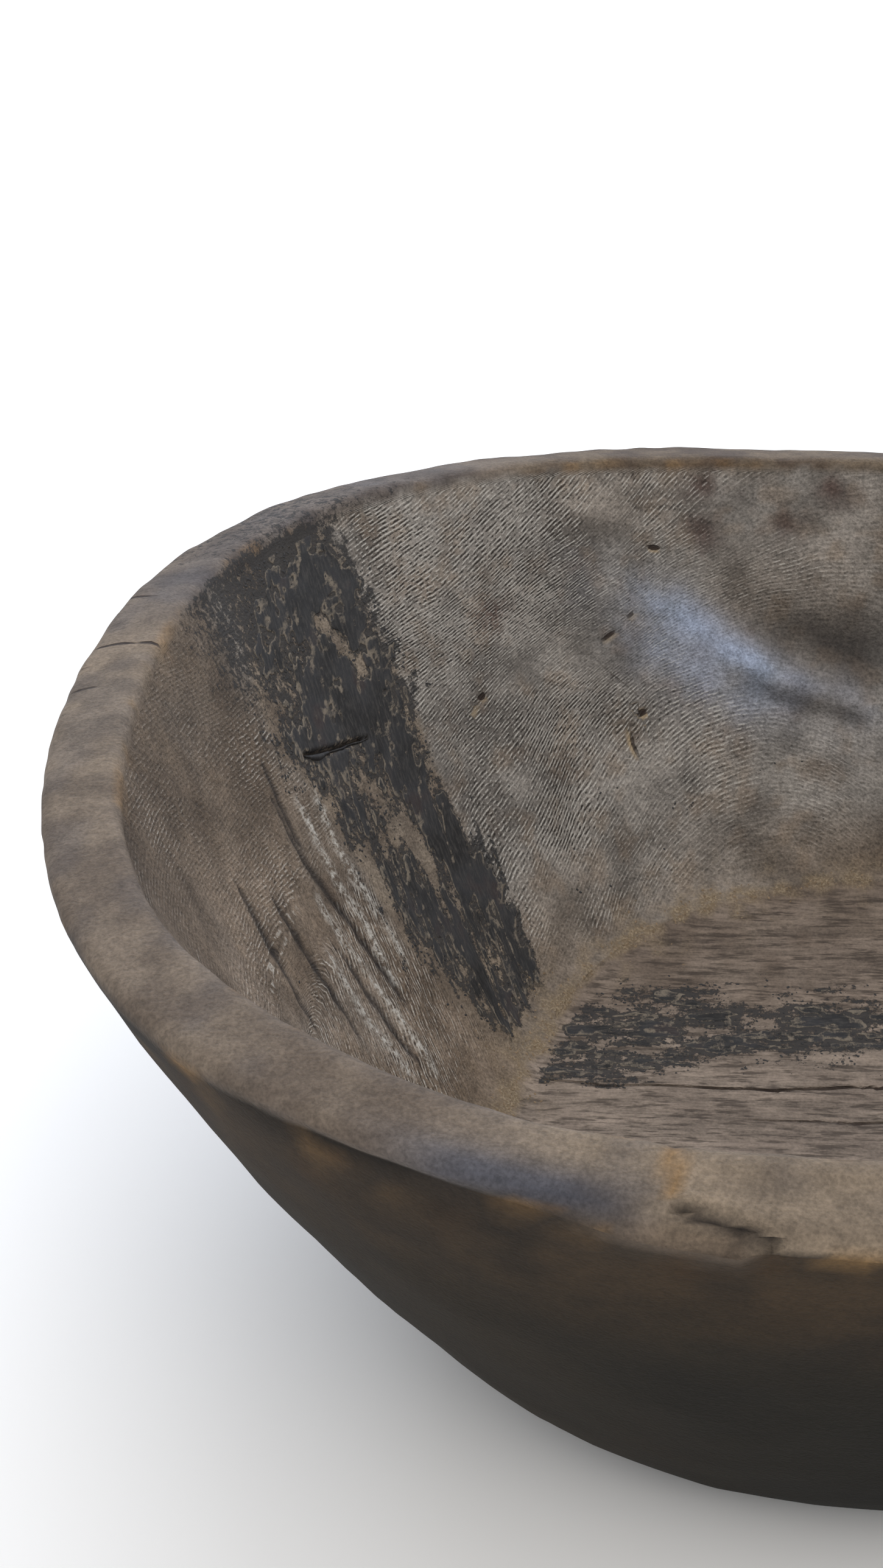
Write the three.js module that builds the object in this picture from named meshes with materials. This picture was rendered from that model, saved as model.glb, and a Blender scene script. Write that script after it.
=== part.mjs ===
// A large round bowl carved by hand from one block of wood, with old black pitch on its inside.
// Lengths are millimetres and angles are degrees. +Z is up, and the origin is the middle of the flat base.
// Angles round the bowl start at +X and turn towards +Y.
import * as THREE from "three";

// The rim: nearly round, with four soft corners, a little longer and higher at two opposite ends
const RIM_RADIUS = 250;
const CORNER_SWELL = 7.5;
const CORNER_ANGLE = 54;
const END_STRETCH = 2.4;
const RIM_HEIGHT = 190;
const END_RISE = 2.6;
const RIM_SLOPE = 6; // height of the rim's inner edge above its outer edge
const RIM_WIDTH = 25;
const RIM_WIDTH_SWING = 2.7;
const RIM_WIDEST_ANGLE = 105;
const RIM_EDGE_ROUND = 6;

// The outside: a flat base, and a belly that swells fast at the foot and then stands up to the rim
const BASE_RADIUS = 112.5;
const BELLY_POWER = 0.664;

// The inside: a floor dished from front to back, and a wall that thickens towards its foot
const FLOOR_THICKNESS = 38;
const FLOOR_DISH = 16;
const WALL_FOOT = 35.3;
const WALL_FOOT_SWING = 11.6;
const WALL_THICKEST_ANGLE = 161;

// The pitch: brushed on in one band, down the wall and on along the floor's grain
const PITCH_GAP = 0.4; // between the pitch and the faceted wood under it
const PITCH_THICKNESS = 1.2;
const PITCH_BELOW_RIM = 2; // from the rim's rounded edge
const PITCH_TO_CREASE = 4; // from the line where the wall meets the floor
const WALL_BAND_ANGLE = 160.5;
const WALL_BAND_HALF_WIDTH = 9.5; // degrees round the bowl
const WALL_BAND_FOOT_SHIFT = 3; // degrees that its foot drifts round the bowl
const GRAIN_ANGLE = 9.5; // of the floor's grain, from +X
const FLOOR_BAND_END = 92; // along the grain, from the middle of the floor
const FLOOR_BAND_OFFSET = 60; // across the grain
const FLOOR_BAND_HALF_WIDTH = 19;
const BAND_SQUARENESS = 4; // of both bands' ends, where 2 is round

// The bead: pitch pushed out along the lower lip of the crack in the wall
const BEAD_START = 0.84; // from the wall band's middle line, in half widths of the band
const BEAD_END = -0.1;
const BEAD_START_DROP = 60; // below the rim's inner edge
const BEAD_END_DROP = 68;
const BEAD_HALF_WIDTH = 3;
const BEAD_HEIGHT = 2;
const BEAD_EDGE_HEIGHT = 0.6;

// Facets of the finished solids
const SEGMENTS = 120;
const WALL_ROWS = 9;
const FLOOR_ROWS = 6;
const EDGE_STEPS = 3;
const BELLY_STEPS = [0.006, 0.03, 0.08, 0.16, 0.27, 0.4, 0.55, 0.7, 0.84];
const BAND_ROWS = 20;
const BAND_COLUMNS = 10;
const BEAD_ROWS = 12;
const BEAD_COLUMNS = 6;

const { degToRad, lerp } = THREE.MathUtils;
const FULL_TURN = 2 * Math.PI;

// A value that is 1 at the peak angle and swings to -1, with so many lobes round the bowl.
function swing(angle, peakAngle, lobes) {
  return Math.cos(lobes * (angle - degToRad(peakAngle)));
}

function polar(angle, radius, height) {
  return new THREE.Vector3(radius * Math.cos(angle), radius * Math.sin(angle), height);
}

function rimRadius(angle) {
  return RIM_RADIUS + CORNER_SWELL * swing(angle, CORNER_ANGLE, 4) + END_STRETCH * swing(angle, 0, 2);
}

function rimHeight(angle) {
  return RIM_HEIGHT + END_RISE * swing(angle, 0, 2);
}

function bellyRadius(angle, height) {
  const share = Math.min(height / rimHeight(angle), 1);
  return BASE_RADIUS + (rimRadius(angle) - BASE_RADIUS) * share ** BELLY_POWER;
}

function bellyPoint(angle, share) {
  const height = share * rimHeight(angle);
  return polar(angle, bellyRadius(angle, height), height);
}

// The level thickness of the wall, at a depth of 0 at the rim and 1 at the floor.
function wallThickness(angle, depth) {
  const atRim = RIM_WIDTH + RIM_WIDTH_SWING * swing(angle, RIM_WIDEST_ANGLE, 1);
  const atFoot = WALL_FOOT + WALL_FOOT_SWING * swing(angle, WALL_THICKEST_ANGLE, 2);
  return lerp(atRim, atFoot, depth);
}

function floorHeight(angle, share) {
  return FLOOR_THICKNESS + FLOOR_DISH * (share * Math.sin(angle)) ** 2;
}

function innerEdgeHeight(angle) {
  return rimHeight(angle) + RIM_SLOPE;
}

// A point of the wall's inside, at a depth of 0 at the rim's inner edge and 1 at the floor.
function wallPoint(angle, depth) {
  const height = lerp(innerEdgeHeight(angle), floorHeight(angle, 1), depth);
  return polar(angle, bellyRadius(angle, height) - wallThickness(angle, depth), height);
}

// The wall's depth at a drop in millimetres below the rim's inner edge.
function depthAtDrop(angle, drop) {
  return drop / (innerEdgeHeight(angle) - floorHeight(angle, 1));
}

function floorRadius(angle) {
  const foot = wallPoint(angle, 1);
  return Math.hypot(foot.x, foot.y);
}

// A point of the floor, at a share of the way from the middle to the foot of the wall.
function floorPoint(angle, share) {
  return polar(angle, share * floorRadius(angle), floorHeight(angle, share));
}

// The floor's point above a place given along and across the grain.
function floorAt(along, across) {
  const angle = Math.atan2(across, along) + degToRad(GRAIN_ANGLE);
  return floorPoint(angle, Math.hypot(along, across) / floorRadius(angle));
}

// How far the floor reaches against the grain's direction, at a distance across the grain.
function floorReach(across) {
  let inside = 0;
  let outside = RIM_RADIUS;
  while (outside - inside > 0.01) {
    const middle = (inside + outside) / 2;
    const angle = Math.atan2(across, -middle) + degToRad(GRAIN_ANGLE);
    if (Math.hypot(middle, across) < floorRadius(angle)) {
      inside = middle;
    } else {
      outside = middle;
    }
  }
  return inside;
}

// A rounded corner of the rim: from one face of the wood, past the sharp corner, to the other.
function roundedEdge(from, corner, to) {
  const curve = new THREE.QuadraticBezierCurve3(from, corner, to);
  return curve.getPoints(EDGE_STEPS);
}

// The points of one slice through the wood, from the base to the last row of the floor.
function slice(angle) {
  const outerEdge = bellyPoint(angle, 1);
  const innerEdge = wallPoint(angle, 0);
  const rimTop = innerEdge.clone().sub(outerEdge);
  const inset = rimTop.clone().setLength(Math.min(RIM_EDGE_ROUND, rimTop.length() / 3));
  const bellyEnd = bellyPoint(angle, 1 - RIM_EDGE_ROUND / rimHeight(angle));
  const wallStart = depthAtDrop(angle, RIM_EDGE_ROUND);

  const points = [polar(angle, BASE_RADIUS / 2, 0), polar(angle, BASE_RADIUS, 0)];
  BELLY_STEPS.forEach((share) => points.push(bellyPoint(angle, share)));
  points.push(...roundedEdge(bellyEnd, outerEdge, outerEdge.clone().add(inset)));
  points.push(...roundedEdge(innerEdge.clone().sub(inset), innerEdge, wallPoint(angle, wallStart)));
  for (let row = 1; row <= WALL_ROWS; row += 1) {
    points.push(wallPoint(angle, lerp(wallStart, 1, row / WALL_ROWS)));
  }
  for (let row = FLOOR_ROWS - 1; row > 0; row -= 1) {
    points.push(floorPoint(angle, row / FLOOR_ROWS));
  }
  return points;
}

function geometryOf(points, triangles) {
  const geometry = new THREE.BufferGeometry().setFromPoints(points);
  geometry.setIndex(triangles);
  geometry.computeVertexNormals();
  return geometry;
}

// The bowl's wood: slices all round, joined at the middle of the base and at the middle of the floor.
function bowlGeometry() {
  const slices = [];
  for (let i = 0; i < SEGMENTS; i += 1) {
    slices.push(slice((FULL_TURN * i) / SEGMENTS));
  }
  const rows = slices[0].length;
  const points = slices.flat();
  const baseMiddle = points.push(new THREE.Vector3(0, 0, 0)) - 1;
  const floorMiddle = points.push(floorPoint(0, 0)) - 1;

  const triangles = [];
  for (let i = 0; i < SEGMENTS; i += 1) {
    const here = i * rows;
    const next = ((i + 1) % SEGMENTS) * rows;
    triangles.push(baseMiddle, next, here);
    for (let row = 0; row < rows - 1; row += 1) {
      triangles.push(here + row, next + row, next + row + 1);
      triangles.push(here + row, next + row + 1, here + row + 1);
    }
    triangles.push(here + rows - 1, next + rows - 1, floorMiddle);
  }
  return geometryOf(points, triangles);
}

// A layer that follows the wood between two heights above it. The surface gives the wood's place and facing
// at a column and a row, which both run from 0 to 1. Seen from above the layer, the columns run anticlockwise
// to the rows.
function layerGeometry(surface, low, high, columns, rows) {
  const points = [];
  for (let row = 0; row <= rows; row += 1) {
    for (let column = 0; column <= columns; column += 1) {
      const { place, normal } = surface(column / columns, row / rows);
      points.push(place.clone().addScaledVector(normal, low));
      points.push(place.clone().addScaledVector(normal, high(column / columns)));
    }
  }
  const bottom = (column, row) => 2 * (row * (columns + 1) + column);
  const top = (column, row) => bottom(column, row) + 1;

  const triangles = [];
  const quad = (a, b, c, d) => triangles.push(a, b, c, a, c, d);
  for (let row = 0; row < rows; row += 1) {
    const next = row + 1;
    for (let column = 0; column < columns; column += 1) {
      const beside = column + 1;
      quad(top(column, row), top(beside, row), top(beside, next), top(column, next));
      quad(bottom(column, row), bottom(column, next), bottom(beside, next), bottom(beside, row));
    }
    quad(bottom(0, row), top(0, row), top(0, next), bottom(0, next));
    quad(top(columns, row), bottom(columns, row), bottom(columns, next), top(columns, next));
  }
  for (let column = 0; column < columns; column += 1) {
    const beside = column + 1;
    quad(top(column, 0), bottom(column, 0), bottom(beside, 0), top(beside, 0));
    quad(bottom(column, rows), top(column, rows), top(beside, rows), bottom(beside, rows));
  }
  return geometryOf(points, triangles);
}

// How wide a band is at a share of its length, as a share of its full width.
function bandWidth(share) {
  const BLUNT_TIP = 0.98; // keeps the first and the last row from closing to a point
  const fromMiddle = Math.abs(2 * share - 1) * BLUNT_TIP;
  return (1 - fromMiddle ** BAND_SQUARENESS) ** (1 / BAND_SQUARENESS);
}

// A place with the direction in which its surface faces, from two places beside it, anticlockwise.
function facing(place, beside, ahead) {
  const normal = beside.clone().sub(place).cross(ahead.clone().sub(place)).normalize();
  return { place, normal };
}

const NUDGE = 0.5; // to the places beside, in millimetres

function wallSurface(angle, depth) {
  const turn = NUDGE / RIM_RADIUS;
  const below = wallPoint(angle, depth + depthAtDrop(angle, NUDGE));
  return facing(wallPoint(angle, depth), wallPoint(angle + turn, depth), below);
}

// The angle of a place on the wall band, at a side from -1 to 1 and a share of its length.
function wallBandAngle(side, share) {
  const drift = WALL_BAND_FOOT_SHIFT * share ** 4;
  return degToRad(WALL_BAND_ANGLE + drift + side * WALL_BAND_HALF_WIDTH);
}

function wallBandSurface(column, row) {
  const angle = wallBandAngle(lerp(-1, 1, column) * bandWidth(row), row);
  const start = depthAtDrop(angle, RIM_EDGE_ROUND + PITCH_BELOW_RIM);
  const end = 1 - depthAtDrop(angle, PITCH_TO_CREASE);
  return wallSurface(angle, lerp(start, end, row));
}

function floorBandSurface(column, row) {
  const across = FLOOR_BAND_OFFSET + FLOOR_BAND_HALF_WIDTH * lerp(1, -1, column) * bandWidth(row);
  const start = PITCH_TO_CREASE - floorReach(across);
  const along = lerp(start, FLOOR_BAND_END, row);
  return facing(floorAt(along, across), floorAt(along + NUDGE, across), floorAt(along, across + NUDGE));
}

function beadSurface(column, row) {
  const angle = wallBandAngle(lerp(BEAD_START, BEAD_END, row), 0);
  const aside = BEAD_HALF_WIDTH * bandWidth(row) * lerp(-1, 1, column);
  return wallSurface(angle, depthAtDrop(angle, lerp(BEAD_START_DROP, BEAD_END_DROP, row) + aside));
}

const pitchTop = PITCH_GAP + PITCH_THICKNESS;
const beadFoot = pitchTop + PITCH_GAP;

// The bead is rounded over: highest along its middle line.
function beadTop(column) {
  return beadFoot + lerp(BEAD_EDGE_HEIGHT, BEAD_HEIGHT, Math.sin(Math.PI * column));
}

function pitchCoatGeometry(surface) {
  return layerGeometry(surface, PITCH_GAP, () => pitchTop, BAND_COLUMNS, BAND_ROWS);
}

const carvedWood = new THREE.MeshStandardMaterial({ color: 0x6b5c50, roughness: 0.85, metalness: 0 });
const blackPitch = new THREE.MeshStandardMaterial({ color: 0x2b2b2c, roughness: 0.6, metalness: 0 });
const group = new THREE.Group();

function addPiece(name, geometry, material) {
  const mesh = new THREE.Mesh(geometry, material);
  mesh.name = name;
  group.add(mesh);
}

const beadGeometry = layerGeometry(beadSurface, beadFoot, beadTop, BEAD_COLUMNS, BEAD_ROWS);
addPiece("carved_bowl", bowlGeometry(), carvedWood);
addPiece("wall_pitch_coat", pitchCoatGeometry(wallBandSurface), blackPitch);
addPiece("floor_pitch_coat", pitchCoatGeometry(floorBandSurface), blackPitch);
addPiece("crack_pitch_bead", beadGeometry, blackPitch);

export default group;
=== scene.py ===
"""A large round bowl carved by hand from one block of hardwood, with old black pitch on its inside.

The bowl's form is worked out in millimetres, as in its solids, and turned to metres when a mesh is made.
Angles run round the bowl, from +X towards +Y. Marks and named values give them in degrees. A function is
given an angle in radians, or degrees by that name. Every place on the bowl also has a profile value: -3 at
the middle of the base, -2 at its edge, -1 at the rim's outer edge, 0 at its inner edge, 1 where the wall
meets the floor and 2 at the middle of the floor. On the wall this is its depth.
"""
import itertools

import bpy
import numpy as np
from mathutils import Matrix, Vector


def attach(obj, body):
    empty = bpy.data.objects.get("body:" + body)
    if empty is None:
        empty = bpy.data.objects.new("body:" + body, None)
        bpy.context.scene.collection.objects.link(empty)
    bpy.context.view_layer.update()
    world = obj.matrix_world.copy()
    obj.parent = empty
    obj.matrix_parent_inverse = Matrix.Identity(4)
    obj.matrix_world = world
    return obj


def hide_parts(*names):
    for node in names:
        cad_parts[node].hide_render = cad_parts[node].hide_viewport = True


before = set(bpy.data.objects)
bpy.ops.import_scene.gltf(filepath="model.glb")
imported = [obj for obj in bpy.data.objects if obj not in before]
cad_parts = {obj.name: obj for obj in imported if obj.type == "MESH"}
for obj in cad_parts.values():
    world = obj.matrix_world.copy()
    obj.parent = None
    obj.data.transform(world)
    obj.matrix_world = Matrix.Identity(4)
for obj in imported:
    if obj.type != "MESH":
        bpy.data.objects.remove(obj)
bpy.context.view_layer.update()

MM = 0.001
FULL_TURN = 2 * np.pi

# The rim
RIM_RADIUS = 250
CORNER_SWELL = 7.5
CORNER_ANGLE = 54
END_STRETCH = 2.4
RIM_HEIGHT = 190
END_RISE = 2.6
RIM_SLOPE = 6
RIM_WIDTH = 25
RIM_WIDTH_SWING = 2.7
RIM_WIDEST_ANGLE = 105
RIM_EDGE_ROUND = 6

# The outside and the inside
BASE_RADIUS = 112.5
BELLY_POWER = 0.664
FLOOR_THICKNESS = 38
FLOOR_DISH = 16
WALL_FOOT = 35.3
WALL_FOOT_SWING = 11.6
WALL_THICKEST_ANGLE = 161
GRAIN_ANGLE = 9.5
CORNER_LEAN = 30
CORNER_REACH = 15
FILLET_REACH = 11

# The wall laid out flat, for distances between marks on it
WALL_SLANT = 180
WALL_TOP_RADIUS = 222
WALL_FOOT_RADIUS = 128
WALL_MIDDLE_ANGLE = 135

# Facets of the wood's mesh. The columns stand closer together round the busy angle.
COLUMNS = 600
BUSY_ANGLE = 140
CROWDING = 0.35
BASE_ROWS = 4
OUTSIDE_ROWS = 44
EDGE_ROWS = 5
RIM_ROWS = 7
WALL_ROWS = 76

# Marks on the wall, as angle and depth, and on the floor, as millimetres along and across its grain. A nick
# also has half its width and how pale the wood beside it is, and a crack in the floor half its width at
# both ends.
WALL_CRACK = ((169.8, 0.357), (164.1, 0.394), (158.4, 0.419))
WALL_NICKS = (
    (((124.9, 0.41), (123.5, 0.397), (122.2, 0.386)), 0.5, 0.4),
    (((121.5, 0.371), (119.9, 0.346)), 0.4, 0.3),
    (((118.0, 0.21), (116.3, 0.214)), 0.9, 0.9),
    (((122.3, 0.582), (121.2, 0.573), (120.3, 0.57)), 0.6, 1.0),
    (((123.2, 0.594), (123.3, 0.634), (122.7, 0.676)), 0.4, 1.0),
    (((141.2, 0.46), (139.7, 0.454)), 1.0, 0.6),
    (((143.3, 0.488), (141.4, 0.463)), 0.15, 0.6),
)
NICK_DEPTH = 1.2
WALL_CRACK_DEPTH = 3
GROOVE_DEPTH = 0.7
RIDGE_HEIGHT = 0.45
PIT_DEPTH = 1.1
WALL_PITS = ((111.5, 0.07), (111.8, 0.183), (103.2, 0.163), (98.3, 0.081), (136.0, 0.3))
WALL_PIT_RADIUS = 6
HAIRLINES = (
    ((126.2, 0.423), (125.0, 0.461), (123.0, 0.505), (120.3, 0.564)),
    ((128.3, 0.125), (126.5, 0.197)),
)
TOOL_GROOVES = (
    ((179.4, 0.35), (181.4, 0.454), (181.0, 0.6), (182.6, 0.761)),
    ((177.0, 0.298), (179.1, 0.391), (180.4, 0.455)),
    ((186.8, 0.599), (188.7, 0.744), (190.0, 0.83)),
    ((196.1, 0.333), (199.1, 0.457), (203.5, 0.587)),
    ((192.0, 0.42), (194.0, 0.56), (197.0, 0.7)),
)
# Raised ridges whose crests are painted pale, partly dry wood and partly painted highlight
DRY_LIT_RIDGES = (
    ((171.5, 0.4), (173.8, 0.5), (174.8, 0.62), (176.5, 0.74)),
    ((175.3, 0.378), (177.5, 0.51), (178.8, 0.625), (182.5, 0.75)),
    ((183.5, 0.5), (185.0, 0.62), (186.5, 0.78), (188.5, 0.88)),
    ((189.5, 0.56), (192.0, 0.7), (193.5, 0.84)),
)
FLOOR_CRACK_STEEPNESS = 3.2
FLOOR_CRACKS = (
    (((-108, 33), (-80, 29.2), (-49, 29.6), (-23, 29), (0, 31.8), (30, 32.5), (72, 35)), 0.3, 0.75),
    (((-34, 12.5), (1, 12.3), (30, 14), (55, 13)), 0.3, 0.5),
)

# Fine cracks across the rim: angle, how far in from the outer edge they run, and half their width
RIM_CRACKS = (
    (182.0, 1.1, 0.8),
    (172.6, 0.55, 0.5),
    (175.6, 0.4, 0.35),
    (178.9, 0.5, 0.3),
    (185.4, 0.35, 0.3),
    (189.1, 0.5, 0.55),
    (193.0, 0.3, 0.3),
    (352.0, 0.6, 0.45),
    (8.0, 0.9, 0.5),
)

# The hollow in the back wall, and the smooth lip under it
HOLLOW_LINE = ((117, 0.3), (106, 0.4), (94, 0.46), (84, 0.44))
HOLLOW_REACH = 17
HOLLOW_DEPTH = 5.5
LIP_LINE = ((121.2, 0.273), (116.2, 0.352), (111.5, 0.441), (104.5, 0.52), (96.2, 0.571))
LIP_REACH = 8
LIP_HEIGHT = 1.8

# A gap in the front rim, as angle and profile, the bare streak that leads to it, the splinter beside it that
# hangs over the outer edge, and the edge further left that handling has rounded. The rim's flat width is
# measured over its rounded edges.
RIM_FLAT_WIDTH = 33
RIM_GAP = ((261.4, -0.7), (262.8, -0.76), (265.2, -0.87), (267.0, -0.94))
RIM_STREAK = ((260.2, 0.02), (261.0, -0.3), (261.5, -0.66))
GAP_DEPTH = 3.2
STREAK_DEPTH = 0.8
SPLINTER_HEIGHT = 2.2
SPLINTER_DROP = 0.05
ROUNDED_ANGLE = 247
ROUNDED_DEPTH = 2.6
INNER_EDGE_RISE = 3.0

# Stretches round the bowl, in degrees: where each starts, is full, fades again and has ended
COARSE_WALL = (171, 178, 206, 216)
STEEP_RIPPLES = (160, 172, 205, 265)
BROWN_LEFT = (166, 178, 300, 330)
RAISED_INNER_EDGE = (256, 273, 292, 318)
SPLINTER = (254, 261, 265, 266.2)
# Where a cool reflection is painted on the rim's polished parts, at the front and at the back
FRONT_RIM_REFLECTION = (243, 252, 256, 262)
BACK_RIM_REFLECTION = (128, 140, 168, 182)
# Where painted shade darkens the front rim's outer edge
SHADED_OUTER_EDGE = (200, 225, 256, 261)
DARK_BACK_RIM = (50, 80, 118, 136)
DRY_FRONT_RIM = (250, 258, 290, 320)
# Where the outside is darker, from the front round to the right
DARKER_RIGHT_OUTSIDE = (240, 275, 300, 350)

# Pitch: its edges on the wall as depth and angle, and on the floor as millimetres along and across the
# grain, the holes in it with half their width, how high it stands, and the sizes of its loose bits
PITCH_RIGHT_EDGE = ((0, 152.5), (0.1, 150.8), (0.3, 150.2), (0.45, 150.2), (0.55, 151.4), (0.7, 151.8),
                    (0.83, 151.0), (0.9, 152.6), (0.94, 156.2), (0.975, 162))
PITCH_LEFT_EDGE = ((0, 160), (0.05, 165.6), (0.14, 166.8), (0.24, 169.9), (0.325, 171.7), (0.38, 169.6),
                   (0.556, 169.4), (0.7, 171.4), (0.85, 169.5), (0.945, 166.4), (0.98, 163))
PITCH_HOLES = (
    (((156.5, 0.2), (155.4, 0.255)), 2.0),
    (((155.4, 0.262), (154.2, 0.315)), 3.0),
)
FLOOR_PITCH_UPPER = ((-112, 64), (-97, 77), (-75, 76), (-34, 75), (16, 76), (60, 78), (90, 76))
FLOOR_PITCH_LOWER = ((-112, 40), (-104, 34), (-77, 37), (-35, 49), (14, 52), (60, 53), (90, 56))
WALL_PITCH_HIGH = 0.2
FLOOR_PITCH_HIGH = 0.13
PITCH_EDGE_HIGH = 0.07
PITCH_FILM_COVER = 0.2
PITCH_SUNK = 0.35
PITCH_STROKE_LEAN = 0.12
SMALLEST_BIT = 0.25
LARGEST_BIT = 1.7

# The grids that the films of pitch are cut from: the first value, the last one and how many
WALL_FILM_ANGLES = (148.4, 173.2, 135)
WALL_FILM_DEPTHS = (0.042, 0.99, 240)
FLOOR_FILM_X = (-118, 92, 300)
FLOOR_FILM_Y = (8, 104, 150)

# The fine ripples that a scraper left on the wall, and how deep they are round its upper and its lower half
RIPPLE_SPACING = 1.8
UPPER_RIPPLES = ((0, 0.6), (60, 0.7), (85, 0.35), (100, 0.4), (112, 0.7), (125, 1.1), (147, 1.2), (152, 0.6),
                 (168, 0.45), (178, 0.4), (200, 0.35), (250, 0.5), (300, 0.8), (360, 0.6))
LOWER_RIPPLES = ((0, 0.6), (60, 0.6), (85, 0.3), (104, 0.35), (114, 0.6), (125, 1.0), (138, 1.45),
                 (148, 1.3), (152, 0.6), (168, 0.5), (176, 0.9), (192, 1.0), (205, 0.7), (250, 0.5),
                 (300, 0.6), (360, 0.6))


def blend(start, end, share):
    return start + (end - start) * share


def rise(value, low, high):
    """0 below the low value and 1 above the high one, with a smooth climb between them."""
    share = np.clip((value - low) / (high - low), 0, 1)
    return share * share * (3 - 2 * share)


def between(value, start, full, fade, end):
    """1 between the full and the fade value, and 0 before the start and after the end."""
    return rise(value, start, full) * (1 - rise(value, fade, end))


def swing(angle, peak, lobes):
    """A value that is 1 at the peak angle and swings to -1, with so many lobes round the bowl."""
    return np.cos(lobes * (angle - np.radians(peak)))


def polar(angle, radius, height):
    across = np.broadcast_arrays(radius * np.cos(angle), radius * np.sin(angle), height)
    return np.stack(across, axis=-1)


def rim_radius(angle):
    return RIM_RADIUS + CORNER_SWELL * swing(angle, CORNER_ANGLE, 4) + END_STRETCH * swing(angle, 0, 2)


def rim_height(angle):
    return RIM_HEIGHT + END_RISE * swing(angle, 0, 2)


def belly_radius(angle, height):
    share = np.minimum(height / rim_height(angle), 1)
    return BASE_RADIUS + (rim_radius(angle) - BASE_RADIUS) * share**BELLY_POWER


def belly_place(angle, share):
    height = share * rim_height(angle)
    return polar(angle, belly_radius(angle, height), height)


def wall_thickness(angle, depth):
    at_rim = RIM_WIDTH + RIM_WIDTH_SWING * swing(angle, RIM_WIDEST_ANGLE, 1)
    at_foot = WALL_FOOT + WALL_FOOT_SWING * swing(angle, WALL_THICKEST_ANGLE, 2)
    return blend(at_rim, at_foot, depth)


def wall_ends(angle):
    """The heights of the wall's top and of its foot."""
    return rim_height(angle) + RIM_SLOPE, FLOOR_THICKNESS + FLOOR_DISH * np.sin(angle) ** 2


def wall_place(angle, depth):
    height = blend(*wall_ends(angle), depth)
    return polar(angle, belly_radius(angle, height) - wall_thickness(angle, depth), height)


def floor_radius(angle):
    foot = wall_place(angle, 1)
    return np.hypot(foot[..., 0], foot[..., 1])


def floor_share(x, y):
    """How far out a place on the floor is, from 0 at the middle to 1 at the foot of the wall."""
    return np.hypot(x, y) / floor_radius(np.arctan2(y, x))


def floor_place(x, y):
    lift = floor_share(x, y) * np.sin(np.arctan2(y, x))
    return np.stack([x, y, FLOOR_THICKNESS + FLOOR_DISH * lift**2], axis=-1)


def turned(x, y, degrees):
    """The same place, given along and across a direction."""
    turn = np.radians(degrees)
    return x * np.cos(turn) + y * np.sin(turn), y * np.cos(turn) - x * np.sin(turn)


def along_grain(x, y):
    """The same place, given along and across the grain of the wood."""
    return turned(x, y, GRAIN_ANGLE)


def whole_degrees(angle):
    """An angle as degrees from 0 to 360."""
    return np.degrees(angle) % 360


def laid_flat(x, y):
    """Places on a flat plane, for noise that follows a surface."""
    return np.stack([x, y, np.zeros_like(x)], axis=-1)


def noise(places, size, seed):
    """Smooth random values from -1 to 1, which change over a size in millimetres."""
    table = np.random.default_rng(seed).uniform(-1, 1, (32, 32, 32))
    cells = places / np.asarray(size, dtype=float)
    corner = np.floor(cells).astype(int)
    share = cells - corner
    share = share * share * (3 - 2 * share)
    total = 0
    for step in itertools.product((0, 1), repeat=3):
        weight = np.prod(np.where(step, share, 1 - share), axis=-1)
        index = (corner + step) % 32
        total = total + weight * table[index[..., 0], index[..., 1], index[..., 2]]
    return total


def scoops(places, size, seed):
    """Shallow cuts of an adze, side by side: 0 in the middle of a cut, about 1 on the ridges between cuts."""
    jitter = np.random.default_rng(seed).uniform(0.15, 0.85, (32, 32, 32, 3))
    cells = places / np.asarray(size, dtype=float)
    corner = np.floor(cells).astype(int)
    nearest = np.full(cells.shape[:-1], np.inf)
    for step in itertools.product((-1, 0, 1), repeat=3):
        cell = corner + step
        index = cell % 32
        middle = cell + jitter[index[..., 0], index[..., 1], index[..., 2]]
        nearest = np.minimum(nearest, np.sum((cells - middle) ** 2, axis=-1))
    return np.minimum(nearest, 1)


def unrolled(angle, depth):
    """A place on the wall in millimetres on the flat: sideways towards larger angles, and up."""
    radius = blend(WALL_TOP_RADIUS, WALL_FOOT_RADIUS, depth)
    turn = (angle - np.radians(WALL_MIDDLE_ANGLE) + np.pi) % FULL_TURN - np.pi
    return turn * radius, -depth * WALL_SLANT


def wall_line(marks):
    angles, depths = np.array(marks).T
    return np.stack(unrolled(np.radians(angles), depths), axis=-1)


def from_line(x, y, line):
    """The distance from a line of points, above 0 on its left and below 0 on its right, and how far along the
    line the nearest place on it is, from 0 to 1."""
    line = np.asarray(line, dtype=float)
    lengths = np.hypot(*np.diff(line, axis=0).T)
    nearest = np.full(np.shape(x), np.inf)
    along = np.zeros(np.shape(x))
    passed = 0
    for start, end, length in zip(line, line[1:], lengths):
        step = end - start
        share = np.clip(((x - start[0]) * step[0] + (y - start[1]) * step[1]) / length**2, 0, 1)
        aside_x = x - start[0] - share * step[0]
        aside_y = y - start[1] - share * step[1]
        side = np.where(step[0] * aside_y - step[1] * aside_x < 0, -1, 1)
        away = side * np.hypot(aside_x, aside_y)
        closer = np.abs(away) < np.abs(nearest)
        along = np.where(closer, (passed + share * length) / lengths.sum(), along)
        nearest = np.where(closer, away, nearest)
        passed += length
    return nearest, along


def from_marks(x, y, marks):
    """The same for a line of marks on the wall."""
    return from_line(x, y, wall_line(marks))


def hump(away, reach):
    return np.exp(-((away / reach) ** 2))


def crowded(offset, reach, strength):
    """Moves mesh lines at an offset from a crack towards it."""
    return offset * (1 - strength * hump(offset, reach))


# The mesh of the wood


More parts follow.
